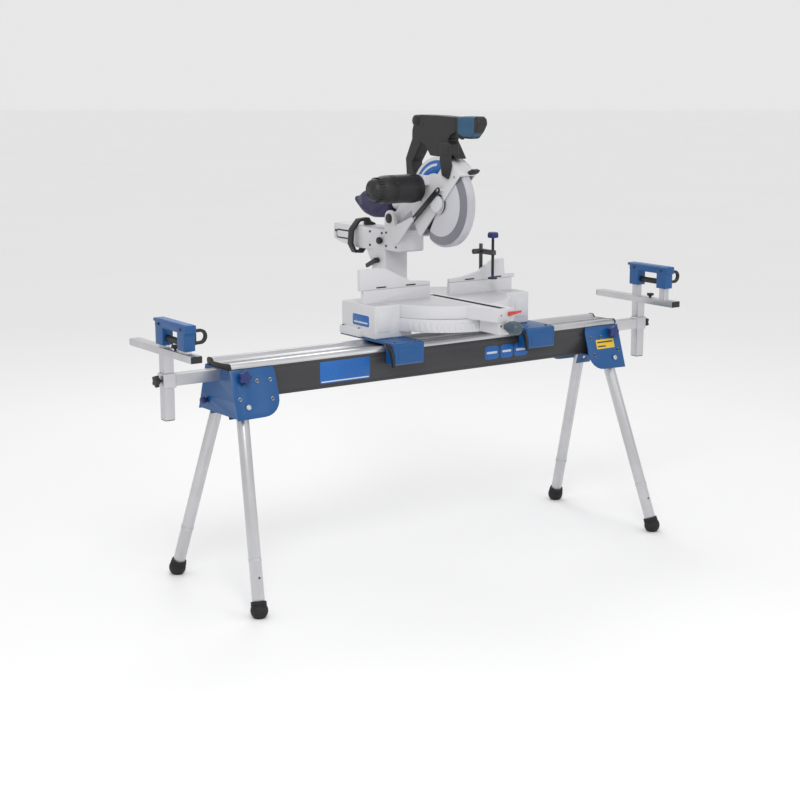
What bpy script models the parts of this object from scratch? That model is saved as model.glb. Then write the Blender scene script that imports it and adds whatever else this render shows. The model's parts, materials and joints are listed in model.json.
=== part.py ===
"""Sliding mitre saw on a folding work stand.

Metres, +Z up. The beam of the stand runs along X, the operator stands on the -Y side. The shape is
laid out about the middle of the beam and at the end it is moved so that the origin is on the floor
under the middle of its bounding box.
"""

import math

import bmesh
import bpy
from mathutils import Matrix, Vector

for old in list(bpy.data.objects):
    bpy.data.objects.remove(old, do_unlink=True)

GAP = 0.0003  # between pieces that touch
CLEAR = 0.0006  # between pieces that slide or turn
OVER = 0.01  # how far a cutter runs past the wall it cuts

# ---- stand: driving sizes
BEAM_LENGTH = 1.696
BEAM_WIDTH = 0.156
BEAM_HEIGHT = 0.1025
BEAM_BOTTOM = 0.687  # sets the height of everything above the legs
BEAM_WALL = 0.003
RAIL_THICK = 0.0135
RIB_HEIGHT = 0.009
CAP_THICK = 0.0055
BEAM_BOX_TOP = BEAM_BOTTOM + BEAM_HEIGHT

LEG_RADIUS = 0.021
LEG_WALL = 0.0018
LEG_GAP = 0.001  # between a leg and its lugs
LEG_INSET = 0.036  # from the beam's end back to the leg's pin
LEG_LEAN = 0.070  # how far along the beam the foot stands outside the pin
FOOT_Y = 0.296
FOOT_RADIUS = LEG_RADIUS + 0.009
FOOT_CUP = LEG_RADIUS + 0.0052
FOOT_HEIGHT = 0.024
PIVOT_X = BEAM_LENGTH / 2 - LEG_INSET
PIVOT_Y = BEAM_WIDTH / 2 + 0.0017
PIVOT_Z = BEAM_BOTTOM - 0.035
FOOT_X = PIVOT_X + LEG_LEAN
PIN_RADIUS = 0.006
PLATE = 0.004
BRACKET_INNER = 0.124
BRACKET_OUTER = 0.046
BRACKET_CORNER = 0.064
CHEEK_TOP = BEAM_BOX_TOP - 0.0015
CHEEK_DROP = 0.038
SCREW_BORE = 0.0046  # bore for the 4 mm screw of a knob

ARM_SIZE = 0.038
ARM_WALL = 0.0025
ARM_LENGTH = 0.75
ARM_Z = BEAM_BOX_TOP - BEAM_WALL - 0.0015 - ARM_SIZE / 2
POST_REACH = 0.197  # from the beam's end to the post
POST_X = BEAM_LENGTH / 2 + POST_REACH
POST_SIZE = 0.035
POST_WALL = 0.0025
POST_BOTTOM = ARM_Z - 0.131
SLEEVE_WALL = 0.005
SLEEVE_HEIGHT = ARM_SIZE + 0.010
BAR_BOTTOM = ARM_Z + 0.086
BAR_HEIGHT = 0.023
BAR_WIDTH = POST_SIZE + 0.005
BAR_FRONT = -0.208
BAR_REAR = 0.225
STEM_X = 0.022
STEM_Y = 0.030
STEM_TOP = BAR_BOTTOM + 0.133
HEAD_X = 0.040
HEAD_LEG = 0.050
HEAD_REAR = 0.035
HEAD_FRONT = -0.167
HEAD_BOTTOM = BAR_BOTTOM + 0.068
HEAD_TOP = HEAD_BOTTOM + 0.085
HEAD_BAR = 0.028
HEAD_LIP = 0.014
HEAD_DROP = 0.036  # how far the left work-stop head is let down
ROLLER_RADIUS = 0.011
ROLLER_RISE = 0.023  # of the roller's axis over the head's lower edge
BAIL_HEIGHT = 0.050
BAIL_REACH = 0.040
BAIL_STRAP = 0.010

# ---- saw: driving sizes
SAW_X = 0.115
TABLE_Y = 0.070  # the turntable's centre and the fences' front face
TABLE_RADIUS = 0.258
MOUNT_TOP = BEAM_BOX_TOP + 0.0325
TABLE_Z = MOUNT_TOP + 0.118
BASE_HALF = TABLE_RADIUS + 0.092
BASE_FRONT = -0.020
BASE_REAR = 0.196
SKIRT_RADIUS = TABLE_RADIUS + 0.006
SKIRT_BOTTOM = MOUNT_TOP + 0.024
SKIRT_TOP = SKIRT_BOTTOM + 0.047
SLOT_FRONT = TABLE_Y - TABLE_RADIUS - 0.112
SLOT_REAR = TABLE_Y + 0.055
SLOT_HALF = 0.014
PIVOT_SHAFT = 0.020
BEVEL_PIN = 0.012
FENCE_THICK = 0.016
FENCE_GAP = 0.045
FENCE_LOW = TABLE_Z + 0.045
FENCE_HIGH = TABLE_Z + 0.122
CLAMP_X = BASE_HALF - 0.136  # from the saw's centre
CLAMP_Y = TABLE_Y - 0.040
CLAMP_POST = 0.007
CLAMP_SCREW = 0.005
COLLAR_Z = TABLE_Z + 0.150
MITRE_Z = TABLE_Z - 0.062
DETENT = (SAW_X + 0.018, TABLE_Z - 0.019)

MOUNT_HALF = 0.067
MOUNT_LEFT = -0.168
MOUNT_RIGHT = 0.432
MOUNT_PLATE = 0.0070
MOUNT_FRONT = -BEAM_WIDTH / 2 - 0.058
MOUNT_REAR = BASE_REAR + 0.008
LEVER_Y = -BEAM_WIDTH / 2 - 0.016
LEVER_Z = MOUNT_TOP - 0.0095
LEVER_THICK = 0.008
LEVER_PIN = 0.003

ARM_BODY_FRONT = TABLE_Y + TABLE_RADIUS + 0.022
ARM_BODY_REAR = ARM_BODY_FRONT + 0.090
ARM_BODY_HALF = 0.050
CHOP_Y = ARM_BODY_FRONT - 0.035
CHOP_Z = TABLE_Z + 0.270
CHOP_ANGLE = 40.0
CHOP_PIN = 0.008
RAIL_RADIUS = 0.015
RAIL_SPREAD = 0.026
RAIL_Z = CHOP_Z - 0.086
RAIL_LENGTH = 0.335
HOUSING_REAR = ARM_BODY_FRONT + 0.360
HOUSING_BOTTOM = RAIL_Z - 0.041
HOUSING_TOP = RAIL_Z + 0.041
HOUSING_HALF = 0.052
CARRY_Y = HOUSING_REAR - 0.165
STUD_Y = (ARM_BODY_FRONT + ARM_BODY_REAR) / 2
STUD_Z = TABLE_Z + 0.105
STUD_RADIUS = 0.005
YOKE_FRONT = CHOP_Y - 0.068
YOKE_HALF = 0.0575
EAR_THICK = 0.012

BLADE_RADIUS = 0.1525
BLADE_THICK = 0.0026
ARBOR_Y = CHOP_Y - 0.280
ARBOR_Z = TABLE_Z + 0.343
ARBOR_RADIUS = 0.0127
GUARD_RADIUS = BLADE_RADIUS + 0.0155
GUARD_HALF = 0.036
GUARD_WALL = 0.0055
LOWER_RADIUS = BLADE_RADIUS + 0.0065
LOWER_HALF = 0.0290
LOWER_WALL = 0.0020
LINK_Y = ARBOR_Y - 0.022
LINK_Z = ARBOR_Z + 0.051
LINK_ANCHOR = 0.150  # from the chop pivot forward to the yoke's pin
LINK_PIN = 0.005
LINK_HALF = 0.010
GUIDE_PIN = 0.0032
GUIDE_SLOT = 0.0052  # half the slot, wide enough for the pin to stray as the link turns
MOTOR_Y = ARBOR_Y + 0.095
MOTOR_Z = ARBOR_Z + 0.052
MOTOR_RADIUS = 0.052
MOTOR_NEAR = 0.060
MOTOR_FAR = 0.268
HANDLE_HALF = 0.024
GRIP_HALF = 0.022
TRIGGER_HALF = 0.0070
BAG_FRONT = CHOP_Y + 0.037
BAG_LENGTH = 0.273
BAG_HALF = 0.046

PARTS = bpy.data.collections.new("mitre_saw_on_stand")
CUTTERS = bpy.data.collections.new("cutters")
for group in (PARTS, CUTTERS):
    bpy.context.scene.collection.children.link(group)

X, Y, Z = Vector((1, 0, 0)), Vector((0, 1, 0)), Vector((0, 0, 1))


# ---------------------------------------------------------------- materials


def paint(name, colour, roughness=0.5, metallic=0.0):
    made = bpy.data.materials.new(name)
    made.use_nodes = True
    shader = made.node_tree.nodes["Principled BSDF"]
    shader.inputs["Base Color"].default_value = (*colour, 1.0)
    shader.inputs["Roughness"].default_value = roughness
    shader.inputs["Metallic"].default_value = metallic
    return made


BLUE = paint("blue_powder_coat", (0.005, 0.085, 0.27), 0.38)
NAVY = paint("navy_plastic", (0.012, 0.035, 0.13), 0.5)
BLACK = paint("black_plastic", (0.012, 0.012, 0.013), 0.55)
RUBBER = paint("rubber", (0.015, 0.015, 0.015), 0.8)
GREY = paint("dark_grey_beam", (0.045, 0.045, 0.048), 0.45, 0.3)
ALUMINIUM = paint("aluminium", (0.62, 0.62, 0.64), 0.35, 1.0)
STEEL = paint("steel", (0.55, 0.55, 0.56), 0.25, 1.0)
WHITE = paint("cast_white", (0.74, 0.74, 0.76), 0.45)
GUARD_GREY = paint("guard_grey", (0.30, 0.30, 0.34), 0.35)
SLATE = paint("slate_plastic", (0.06, 0.09, 0.12), 0.5)
RED = paint("red_plastic", (0.70, 0.06, 0.06), 0.45)
CLOTH = paint("navy_cloth", (0.018, 0.016, 0.05), 0.9)


# ---------------------------------------------------------------- shape tools


def add(name, mesh, finish, frame=None):
    body = bpy.data.objects.new(name, mesh)
    body.matrix_world = frame or Matrix.Identity(4)
    PARTS.objects.link(body)
    mesh.materials.append(finish)
    mesh.shade_smooth()
    mesh.set_sharp_from_angle(angle=math.radians(35))
    return body


def from_bmesh(name, shape, finish, frame=None):
    mesh = bpy.data.meshes.new(name)
    shape.to_mesh(mesh)
    shape.free()
    return add(name, mesh, finish, frame)


def box(name, low, high, finish=GREY, bevel=0.0):
    low, high = Vector(low), Vector(high)
    shape = bmesh.new()
    bmesh.ops.create_cube(shape, size=1.0)
    bmesh.ops.scale(shape, vec=high - low, verts=shape.verts)
    made = from_bmesh(name, shape, finish, Matrix.Translation((low + high) / 2))
    if bevel:
        soften(made, bevel)
    return made


def soften(body, width, segments=1):
    edge = body.modifiers.new("soften", "BEVEL")
    edge.width = width
    edge.segments = segments
    edge.limit_method = "ANGLE"
    edge.angle_limit = math.radians(40)
    return body


def along(start, direction):
    """A frame at start whose Z runs along direction."""
    turn = Vector(direction).normalized().to_track_quat("Z", "Y").to_matrix().to_4x4()
    return Matrix.Translation(Vector(start)) @ turn


def rod(name, start, end, radius, finish=STEEL, sides=20, tip=None):
    start, end = Vector(start), Vector(end)
    length = (end - start).length
    shape = bmesh.new()
    bmesh.ops.create_cone(
        shape,
        cap_ends=True,
        segments=sides,
        radius1=radius,
        radius2=radius if tip is None else tip,
        depth=length,
    )
    return from_bmesh(name, shape, finish, along((start + end) / 2, end - start))


def turned(name, profile, start, direction, finish=STEEL, steps=24, ring=False):
    """A turned piece: profile is (radius, height) points, from the top down its outer side."""
    shape = bmesh.new()
    dots = [shape.verts.new((radius, 0.0, height)) for radius, height in profile]
    for first, second in zip(dots, dots[1:]):
        shape.edges.new((first, second))
    if ring:
        shape.edges.new((dots[-1], dots[0]))
    made = from_bmesh(name, shape, finish, along(start, direction))
    screw = made.modifiers.new("turn", "SCREW")
    screw.steps = steps
    screw.render_steps = steps
    screw.use_merge_vertices = True
    screw.merge_threshold = 0.00005
    return made


def plane_yz(x):
    """Outline x, y are world Y, Z; the thickness runs along X about x."""
    return Matrix.Translation((x, 0, 0)) @ Matrix(
        ((0, 0, 1, 0), (1, 0, 0, 0), (0, 1, 0, 0), (0, 0, 0, 1))
    )


def plane_xz(y):
    """Outline x, y are world X, Z; the thickness runs along Y about y."""
    return Matrix.Translation((0, y, 0)) @ Matrix(
        ((1, 0, 0, 0), (0, 0, -1, 0), (0, 1, 0, 0), (0, 0, 0, 1))
    )


def plane_xy(z):
    return Matrix.Translation((0, 0, z))


def plate(name, outline, frame, thickness, finish=BLUE):
    """A flat outline given a thickness about the frame's XY plane."""
    curve = bpy.data.curves.new(name, "CURVE")
    curve.dimensions = "2D"
    curve.fill_mode = "BOTH"
    curve.extrude = thickness / 2
    line = curve.splines.new("POLY")
    line.points.add(len(outline) - 1)
    for point, (across, up) in zip(line.points, outline):
        point.co = (across, up, 0.0, 1.0)
    line.use_cyclic_u = True
    guide = bpy.data.objects.new(name + "_outline", curve)
    guide.matrix_world = frame
    PARTS.objects.link(guide)
    return to_mesh(name, guide, finish)


def to_mesh(name, guide, finish):
    """Turn a curve object into a mesh object with welded caps."""
    bpy.context.view_layer.update()
    seen = guide.evaluated_get(bpy.context.evaluated_depsgraph_get())
    mesh = bpy.data.meshes.new_from_object(seen)
    shape = bmesh.new()
    shape.from_mesh(mesh)
    bmesh.ops.remove_doubles(shape, verts=shape.verts, dist=0.00002)
    bmesh.ops.recalc_face_normals(shape, faces=shape.faces)
    shape.to_mesh(mesh)
    shape.free()
    frame = guide.matrix_world.copy()
    bpy.data.objects.remove(guide, do_unlink=True)
    mesh.materials.clear()
    return add(name, mesh, finish, frame)


def hide(tool):
    for group in tool.users_collection:
        group.objects.unlink(tool)
    CUTTERS.objects.link(tool)
    tool.hide_render = True
    tool.display_type = "WIRE"


def combine(body, tool, how):
    step = body.modifiers.new(how.lower(), "BOOLEAN")
    step.operation = how
    step.object = tool
    hide(tool)
    return body


def join(body, *tools):
    for tool in tools:
        combine(body, tool, "UNION")
    return body


def cut(body, *tools):
    for tool in tools:
        combine(body, tool, "DIFFERENCE")
    return body


def beside(centre, points):
    """Points given as steps from a centre."""
    return [(centre[0] + across, centre[1] + up) for across, up in points]


def arc(centre, radius, start, end, steps):
    """Points on an arc, degrees anticlockwise from the outline's first axis."""
    points = []
    for step in range(steps + 1):
        angle = math.radians(start + (end - start) * step / steps)
        points.append((centre[0] + radius * math.cos(angle), centre[1] + radius * math.sin(angle)))
    return points


def star_knob(name, face, outward, radius, depth, finish, shaft, shaft_radius=0.004, lobes=5):
    """A lobed knob whose back is at face, with a screw that runs back by shaft."""
    count = lobes * 6
    outline = []
    for step in range(count):
        angle = 2 * math.pi * step / count
        reach = radius * (0.84 + 0.16 * math.cos(lobes * angle))
        outline.append((reach * math.cos(angle), reach * math.sin(angle)))
    face, outward = Vector(face), Vector(outward).normalized()
    knob = plate(name, outline, along(face + outward * depth * 0.65, outward), depth * 0.7, finish)
    boss = rod(name + "_boss", face, face + outward * depth * 0.5, radius * 0.5, finish, 12)
    screw = rod(
        name + "_screw",
        face - outward * shaft,
        face + outward * depth * 0.4,
        shaft_radius,
        finish,
        12,
    )
    return join(knob, boss, screw)


# ---------------------------------------------------------------- stand

SPLAY = math.atan2(FOOT_Y - PIVOT_Y, PIVOT_Z)
COS_SPLAY, SIN_SPLAY = math.cos(SPLAY), math.sin(SPLAY)
BEAM_END = BEAM_LENGTH / 2
CHEEK_INSIDE = (
    BEAM_WIDTH / 2 + CLEAR - PIVOT_Y
) * COS_SPLAY + (CHEEK_TOP - PIVOT_Z) * SIN_SPLAY
CHEEK_MIDDLE = CHEEK_INSIDE + PLATE / 2
CHEEK_OUTSIDE = CHEEK_INSIDE + PLATE
LUG_MIDDLE = -(LEG_RADIUS + LEG_GAP + PLATE / 2)
WALL_OUT = PIVOT_X + BRACKET_OUTER
RAIL_TOP = BEAM_BOX_TOP + GAP + RAIL_THICK
KNOB_X = PIVOT_X + 0.003
LOCK_Z = PIVOT_Z + 0.013


def slant_out(side_y):
    """The outward normal of the slanted cheek on one side of the beam."""
    return Vector((0, side_y * COS_SPLAY, SIN_SPLAY))


def leg_pivot(side_x, side_y):
    return Vector((side_x * PIVOT_X, side_y * PIVOT_Y, PIVOT_Z))


def foot_point(side_x, side_y):
    return Vector((side_x * FOOT_X, side_y * FOOT_Y, 0.0))


def slant_frame(side_x, side_y, offset):
    """A frame in the leg's slanted plane, moved outward by offset: x along the beam, y up."""
    up = Vector((0, -side_y * SIN_SPLAY, COS_SPLAY))
    normal = X.cross(up)
    frame = Matrix((X, up, normal)).transposed().to_4x4()
    return Matrix.Translation(leg_pivot(side_x, side_y) + slant_out(side_y) * offset) @ frame


def slant_y(z, offset):
    """How far from the beam's middle the slanted plane is at a height."""
    return PIVOT_Y + (offset - (z - PIVOT_Z) * SIN_SPLAY) / COS_SPLAY


def rail_outline(grow=0.0):
    half = BEAM_WIDTH / 2 + 0.001 + grow
    base = BEAM_BOX_TOP + GAP
    top = RAIL_TOP + grow
    rib = RAIL_TOP + RIB_HEIGHT + grow
    front = arc((-half + 0.016, top - 0.011), 0.016, 180, 105, 4)
    return (
        [(-half, base)]
        + front
        + [
            (-BEAM_WIDTH / 2 + 0.048, top),
            (BEAM_WIDTH / 2 - 0.038, top - 0.002),
            (BEAM_WIDTH / 2 - 0.031, rib - 0.004),
            (BEAM_WIDTH / 2 - 0.026, rib),
            (half - 0.010, rib),
            (half - 0.002, rib - 0.004),
            (half, rib - 0.010),
            (half, base),
        ]
    )


def make_beam():
    half = BEAM_WIDTH / 2
    low = (-BEAM_END, -half, BEAM_BOTTOM)
    body = box("beam_box", low, (BEAM_END, half, BEAM_BOX_TOP), GREY)
    inner = box(
        "beam_hollow",
        (-BEAM_END - OVER, -half + BEAM_WALL, BEAM_BOTTOM + BEAM_WALL),
        (BEAM_END + OVER, half - BEAM_WALL, BEAM_BOX_TOP - BEAM_WALL),
    )
    cut(body, inner)
    for side in (-1, 1):
        hole = rod(
            f"beam_knob_hole_{side}",
            (side * KNOB_X, -half - OVER, ARM_Z),
            (side * KNOB_X, -half + OVER, ARM_Z),
            SCREW_BORE,
            sides=12,
        )
        cut(body, hole)
    rail = plate("beam_top_rail", rail_outline(), plane_yz(0), BEAM_LENGTH, ALUMINIUM)
    channel = box(
        "rail_channel",
        (-BEAM_END - OVER, -half + 0.012, BEAM_BOX_TOP - OVER),
        (BEAM_END + OVER, half - 0.010, RAIL_TOP - 0.005),
    )
    cut(rail, channel)


def make_end_cap(side, word):
    x = side * (BEAM_END + GAP + CAP_THICK / 2)
    outline = rail_outline(0.0012)
    half = BEAM_WIDTH / 2 - 0.001
    outline = outline[1:-1] + [(half, BEAM_BOX_TOP - 0.002), (half, BEAM_BOTTOM), (-half, BEAM_BOTTOM)]
    outline.append((-half, BEAM_BOX_TOP - 0.002))
    cap = plate(f"end_cap_{word}", outline, plane_yz(x), CAP_THICK, BLACK)
    reach = ARM_SIZE / 2 + CLEAR
    hole = box(
        f"cap_hole_{word}",
        (x - OVER, -reach, ARM_Z - reach),
        (x + OVER, reach, ARM_Z + reach),
    )
    cut(cap, hole)


def cheek_outline(side_x):
    top = (CHEEK_TOP - PIVOT_Z - CHEEK_MIDDLE * SIN_SPLAY) / COS_SPLAY
    corner = (-BRACKET_INNER + BRACKET_CORNER, -CHEEK_DROP + BRACKET_CORNER)
    points = [(BRACKET_OUTER, top), (-BRACKET_INNER + 0.006, top), (-BRACKET_INNER, top - 0.020)]
    points += arc(corner, BRACKET_CORNER, 180, 270, 6)
    points += [(BRACKET_OUTER, -CHEEK_DROP - 0.002)]
    return [(side_x * across, up) for across, up in points]


def make_bracket(side, word):
    """A saddle under the beam, two slanted cheeks, an end wall and the legs' inner lugs."""
    inner_x = side * (PIVOT_X - BRACKET_INNER + 0.002)
    outer_x = side * WALL_OUT
    saddle_top = BEAM_BOTTOM - GAP
    reach = slant_y(saddle_top - PLATE / 2, CHEEK_MIDDLE)
    body = box(
        f"leg_bracket_{word}",
        (min(inner_x, outer_x), -reach, saddle_top - PLATE),
        (max(inner_x, outer_x), reach, saddle_top),
        BLUE,
    )
    wall_low = PIVOT_Z - 0.020
    wall_high = CHEEK_TOP - 0.002
    low_y, high_y = slant_y(wall_low, CHEEK_MIDDLE), slant_y(wall_high, CHEEK_MIDDLE)
    wall = plate(
        f"end_wall_{word}",
        [(-low_y, wall_low), (low_y, wall_low), (high_y, wall_high), (-high_y, wall_high)],
        plane_yz(side * (WALL_OUT - PLATE / 2)),
        PLATE - 0.0002,
    )
    join(body, wall)
    for side_y in (-1, 1):
        tag = f"{word}_{side_y}"
        pivot, out = leg_pivot(side, side_y), slant_out(side_y)
        join(
            body,
            plate(f"cheek_{tag}", cheek_outline(side), slant_frame(side, side_y, CHEEK_MIDDLE), PLATE),
        )
        lug_top = (saddle_top - PLATE / 2 - PIVOT_Z - LUG_MIDDLE * SIN_SPLAY) / COS_SPLAY
        lug = [
            (-side * 0.030, -0.026),
            (side * 0.040, -0.026),
            (side * 0.040, lug_top),
            (-side * 0.030, lug_top),
        ]
        join(body, plate(f"lug_{tag}", lug, slant_frame(side, side_y, LUG_MIDDLE), PLATE))
        boss_end = out * (CHEEK_INSIDE + PLATE / 2)
        join(body, rod(f"boss_{tag}", pivot + out * (LEG_RADIUS + LEG_GAP), pivot + boss_end, 0.014))
    for side_y in (-1, 1):
        pivot, out = leg_pivot(side, side_y), slant_out(side_y)
        start = pivot + out * (LUG_MIDDLE - OVER)
        hole = rod(
            f"pin_hole_{word}_{side_y}",
            start,
            pivot + out * (CHEEK_OUTSIDE + OVER),
            PIN_RADIUS + GAP,
            sides=16,
        )
        cut(body, hole)
    gap = ARM_SIZE / 2 + CLEAR
    arm_hole = box(
        f"wall_arm_hole_{word}",
        (outer_x - OVER, -gap, ARM_Z - gap),
        (outer_x + OVER, gap, ARM_Z + gap + OVER),
    )
    lock_hole = rod(
        f"lock_hole_{word}",
        (outer_x - OVER, lock_y(side), LOCK_Z),
        (outer_x + OVER, lock_y(side), LOCK_Z),
        0.0045,
        sides=12,
    )
    knob_hole = rod(
        f"knob_hole_{word}",
        (side * KNOB_X, -BEAM_WIDTH / 2 - 0.03, ARM_Z),
        (side * KNOB_X, -BEAM_WIDTH / 2 + 0.004, ARM_Z),
        SCREW_BORE,
        sides=12,
    )
    cut(body, arm_hole, lock_hole, knob_hole)


def lock_y(side):
    """The leg lock sits over the rear leg on the left bracket and the front leg on the right."""
    return -side * slant_y(LOCK_Z, 0.0)


def make_leg(side_x, side_y, word):
    pivot, foot = leg_pivot(side_x, side_y), foot_point(side_x, side_y)
    up = (pivot - foot).normalized()
    ball = foot + up * FOOT_HEIGHT / up.z
    seat = ball + up * 0.0050
    length = (pivot - seat).length
    bore = LEG_RADIUS - LEG_WALL
    dome = [(max(r, 0.0), h) for r, h in arc((0, 0), LEG_RADIUS, 90, 0, 4)]
    dome[0] = (0.0, LEG_RADIUS)
    profile = dome + [(LEG_RADIUS, -length), (bore, -length), (bore, -0.045), (0.0, -0.045)]
    leg = turned(f"leg_{word}", profile, pivot, up, ALUMINIUM, 20)
    out = slant_out(side_y)
    pin = rod(
        f"pin_{word}",
        pivot + out * (LUG_MIDDLE - PLATE / 2 - 0.002),
        pivot + out * (CHEEK_OUTSIDE + 0.003),
        PIN_RADIUS,
        sides=16,
    )
    head = rod(
        f"pin_head_{word}",
        pivot + out * (CHEEK_OUTSIDE + CLEAR),
        pivot + out * (CHEEK_OUTSIDE + 0.005),
        0.010,
        sides=6,
    )
    join(leg, pin, head)
    sole = arc((0, 0), FOOT_RADIUS, 30, -90, 6)
    sole[-1] = (0.0, -FOOT_RADIUS)
    profile = [(0.0, 0.0045), (LEG_RADIUS + GAP, 0.0045), (LEG_RADIUS + GAP, 0.030), (FOOT_CUP, 0.030)]
    rubber = turned(f"foot_{word}", profile + sole, ball, up, RUBBER, 20)
    below = box(
        f"floor_{word}",
        (foot.x - 0.1, foot.y - 0.1, -0.1),
        (foot.x + 0.1, foot.y + 0.1, 0.0),
    )
    cut(rubber, below)


def make_leg_lock(side, word):
    face = side * (WALL_OUT + CLEAR)
    y = lock_y(side)
    profile = [(0.0, 0.024), (0.009, 0.024), (0.012, 0.020), (0.012, 0.010), (0.008, 0.006)]
    profile += [(0.008, 0.0), (0.004, 0.0), (0.004, -0.019), (0.0, -0.019)]
    turned(f"leg_lock_{word}", profile, (face, y, LOCK_Z), (side, 0, 0), NAVY, 16)


def make_arm(side, word):
    """Square tube with a guide block inside the beam and a sleeve round the post."""
    half = ARM_SIZE / 2
    sleeve_x = POST_SIZE / 2 + CLEAR + SLEEVE_WALL
    inner_end = POST_X - ARM_LENGTH
    ends = sorted((side * inner_end, side * (POST_X - sleeve_x + 0.002)))
    body = box(
        f"extension_arm_{word}",
        (ends[0], -half, ARM_Z - half),
        (ends[1], half, ARM_Z + half),
        ALUMINIUM,
    )
    sleeve = box(
        f"sleeve_{word}",
        (side * POST_X - sleeve_x, -sleeve_x, ARM_Z - SLEEVE_HEIGHT / 2),
        (side * POST_X + sleeve_x, sleeve_x, ARM_Z + SLEEVE_HEIGHT / 2),
        bevel=0.002,
    )
    guide = sorted((side * (inner_end + 0.002), side * (inner_end + 0.050)))
    block_half = BEAM_WIDTH / 2 - BEAM_WALL - 0.001
    block = box(
        f"guide_{word}",
        (guide[0], -block_half, BEAM_BOTTOM + BEAM_WALL + 0.001),
        (guide[1], block_half, BEAM_BOX_TOP - BEAM_WALL - 0.001),
    )
    join(body, sleeve, block)
    hollow = sorted((side * (inner_end - OVER), side * (POST_X - sleeve_x - 0.004)))
    bore = half - ARM_WALL
    post = POST_SIZE / 2 + CLEAR
    cut(
        body,
        box(f"arm_bore_{word}", (hollow[0], -bore, ARM_Z - bore), (hollow[1], bore, ARM_Z + bore)),
        box(
            f"post_bore_{word}",
            (side * POST_X - post, -post, ARM_Z - 0.05),
            (side * POST_X + post, post, ARM_Z + 0.05),
        ),
        rod(
            f"post_screw_bore_{word}",
            (side * (POST_X + post - 0.004), 0, ARM_Z),
            (side * (POST_X + sleeve_x + OVER), 0, ARM_Z),
            SCREW_BORE,
            sides=12,
        ),
    )


def make_post(side, word):
    """T-post: square upright, hollow cross bar and the two stems that carry the work stop."""
    half, mid = POST_SIZE / 2, side * POST_X
    body = box(
        f"t_post_{word}",
        (mid - half, -half, POST_BOTTOM),
        (mid + half, half, BAR_BOTTOM + 0.002),
        ALUMINIUM,
    )
    bar = box(
        f"cross_bar_{word}",
        (mid - BAR_WIDTH / 2, BAR_FRONT, BAR_BOTTOM),
        (mid + BAR_WIDTH / 2, BAR_REAR, BAR_BOTTOM + BAR_HEIGHT),
    )
    join(body, bar)
    for y in stem_places():
        stem = box(
            f"stem_{word}_{y:.2f}",
            (mid - STEM_X / 2, y - STEM_Y / 2, BAR_BOTTOM + BAR_HEIGHT - 0.002),
            (mid + STEM_X / 2, y + STEM_Y / 2, STEM_TOP - HEAD_DROP),
        )
        join(body, stem)
    wall = POST_WALL
    knob = (mid, head_middle(), BAR_BOTTOM + BAR_HEIGHT / 2)
    cut(
        body,
        box(
            f"post_hollow_{word}",
            (mid - half + wall, -half + wall, POST_BOTTOM - OVER),
            (mid + half - wall, half - wall, BAR_BOTTOM - 0.004),
        ),
        box(
            f"bar_hollow_{word}",
            (mid - BAR_WIDTH / 2 + wall, BAR_FRONT - OVER, BAR_BOTTOM + wall),
            (mid + BAR_WIDTH / 2 - wall, BAR_REAR + OVER, BAR_BOTTOM + BAR_HEIGHT - wall),
        ),
        rod(f"bar_screw_bore_{word}", knob, (knob[0], knob[1], knob[2] + 0.03), SCREW_BORE, sides=12),
    )


def stem_places():
    return (HEAD_REAR - HEAD_LEG / 2, HEAD_FRONT + HEAD_LEG / 2)


def head_middle():
    return sum(stem_places()) / 2


def make_stop_head(side, word, drop):
    """Work-stop head: two hollow legs, a top bar with a rear lip, its roller and its bail."""
    mid = side * POST_X
    half = HEAD_X / 2
    bottom, top = HEAD_BOTTOM - drop, HEAD_TOP - drop
    body = box(
        f"stop_head_{word}",
        (mid - half, HEAD_FRONT - 0.010, top - HEAD_BAR),
        (mid + half, HEAD_REAR + HEAD_LIP, top),
        BLUE,
        bevel=0.003,
    )
    under_lip = box(
        f"under_lip_{word}",
        (mid - half - OVER, HEAD_REAR, top - HEAD_BAR - OVER),
        (mid + half + OVER, HEAD_REAR + HEAD_LIP + OVER, top - 0.010),
    )
    cut(body, under_lip)
    for place in stem_places():
        foot = box(
            f"head_leg_{word}_{place:.2f}",
            (mid - half, place - HEAD_LEG / 2, bottom),
            (mid + half, place + HEAD_LEG / 2, top - 0.004),
            bevel=0.002,
        )
        join(body, foot)
    for place in stem_places():
        bore = box(
            f"stem_bore_{word}_{place:.2f}",
            (mid - STEM_X / 2 - CLEAR, place - STEM_Y / 2 - CLEAR, bottom - OVER),
            (mid + STEM_X / 2 + CLEAR, place + STEM_Y / 2 + CLEAR, top - 0.010),
        )
        cut(body, bore)
    inner = (HEAD_REAR - HEAD_LEG - CLEAR, HEAD_FRONT + HEAD_LEG + CLEAR)
    length = inner[0] - inner[1]
    z = bottom + ROLLER_RISE
    journal = 0.003
    sunk = 0.006
    journal_bore = rod(
        f"journal_bore_{word}",
        (mid, inner[1] - sunk - 0.001, z),
        (mid, inner[0] + sunk + 0.001, z),
        journal + GAP,
        sides=12,
    )
    cut(body, journal_bore)
    profile = [(0, sunk), (journal, sunk), (journal, 0), (ROLLER_RADIUS, 0), (ROLLER_RADIUS, -length)]
    profile += [(journal, -length), (journal, -length - sunk), (0, -length - sunk)]
    turned(f"stop_roller_{word}", profile, (mid, inner[0], z), (0, 1, 0), BLACK, 16)
    make_bail(mid + half, word, (bottom + top) / 2)


def bail_axis(face, z):
    return Vector((face + BAIL_STRAP / 2 + 0.0015, HEAD_FRONT + 0.020, z))


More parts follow.
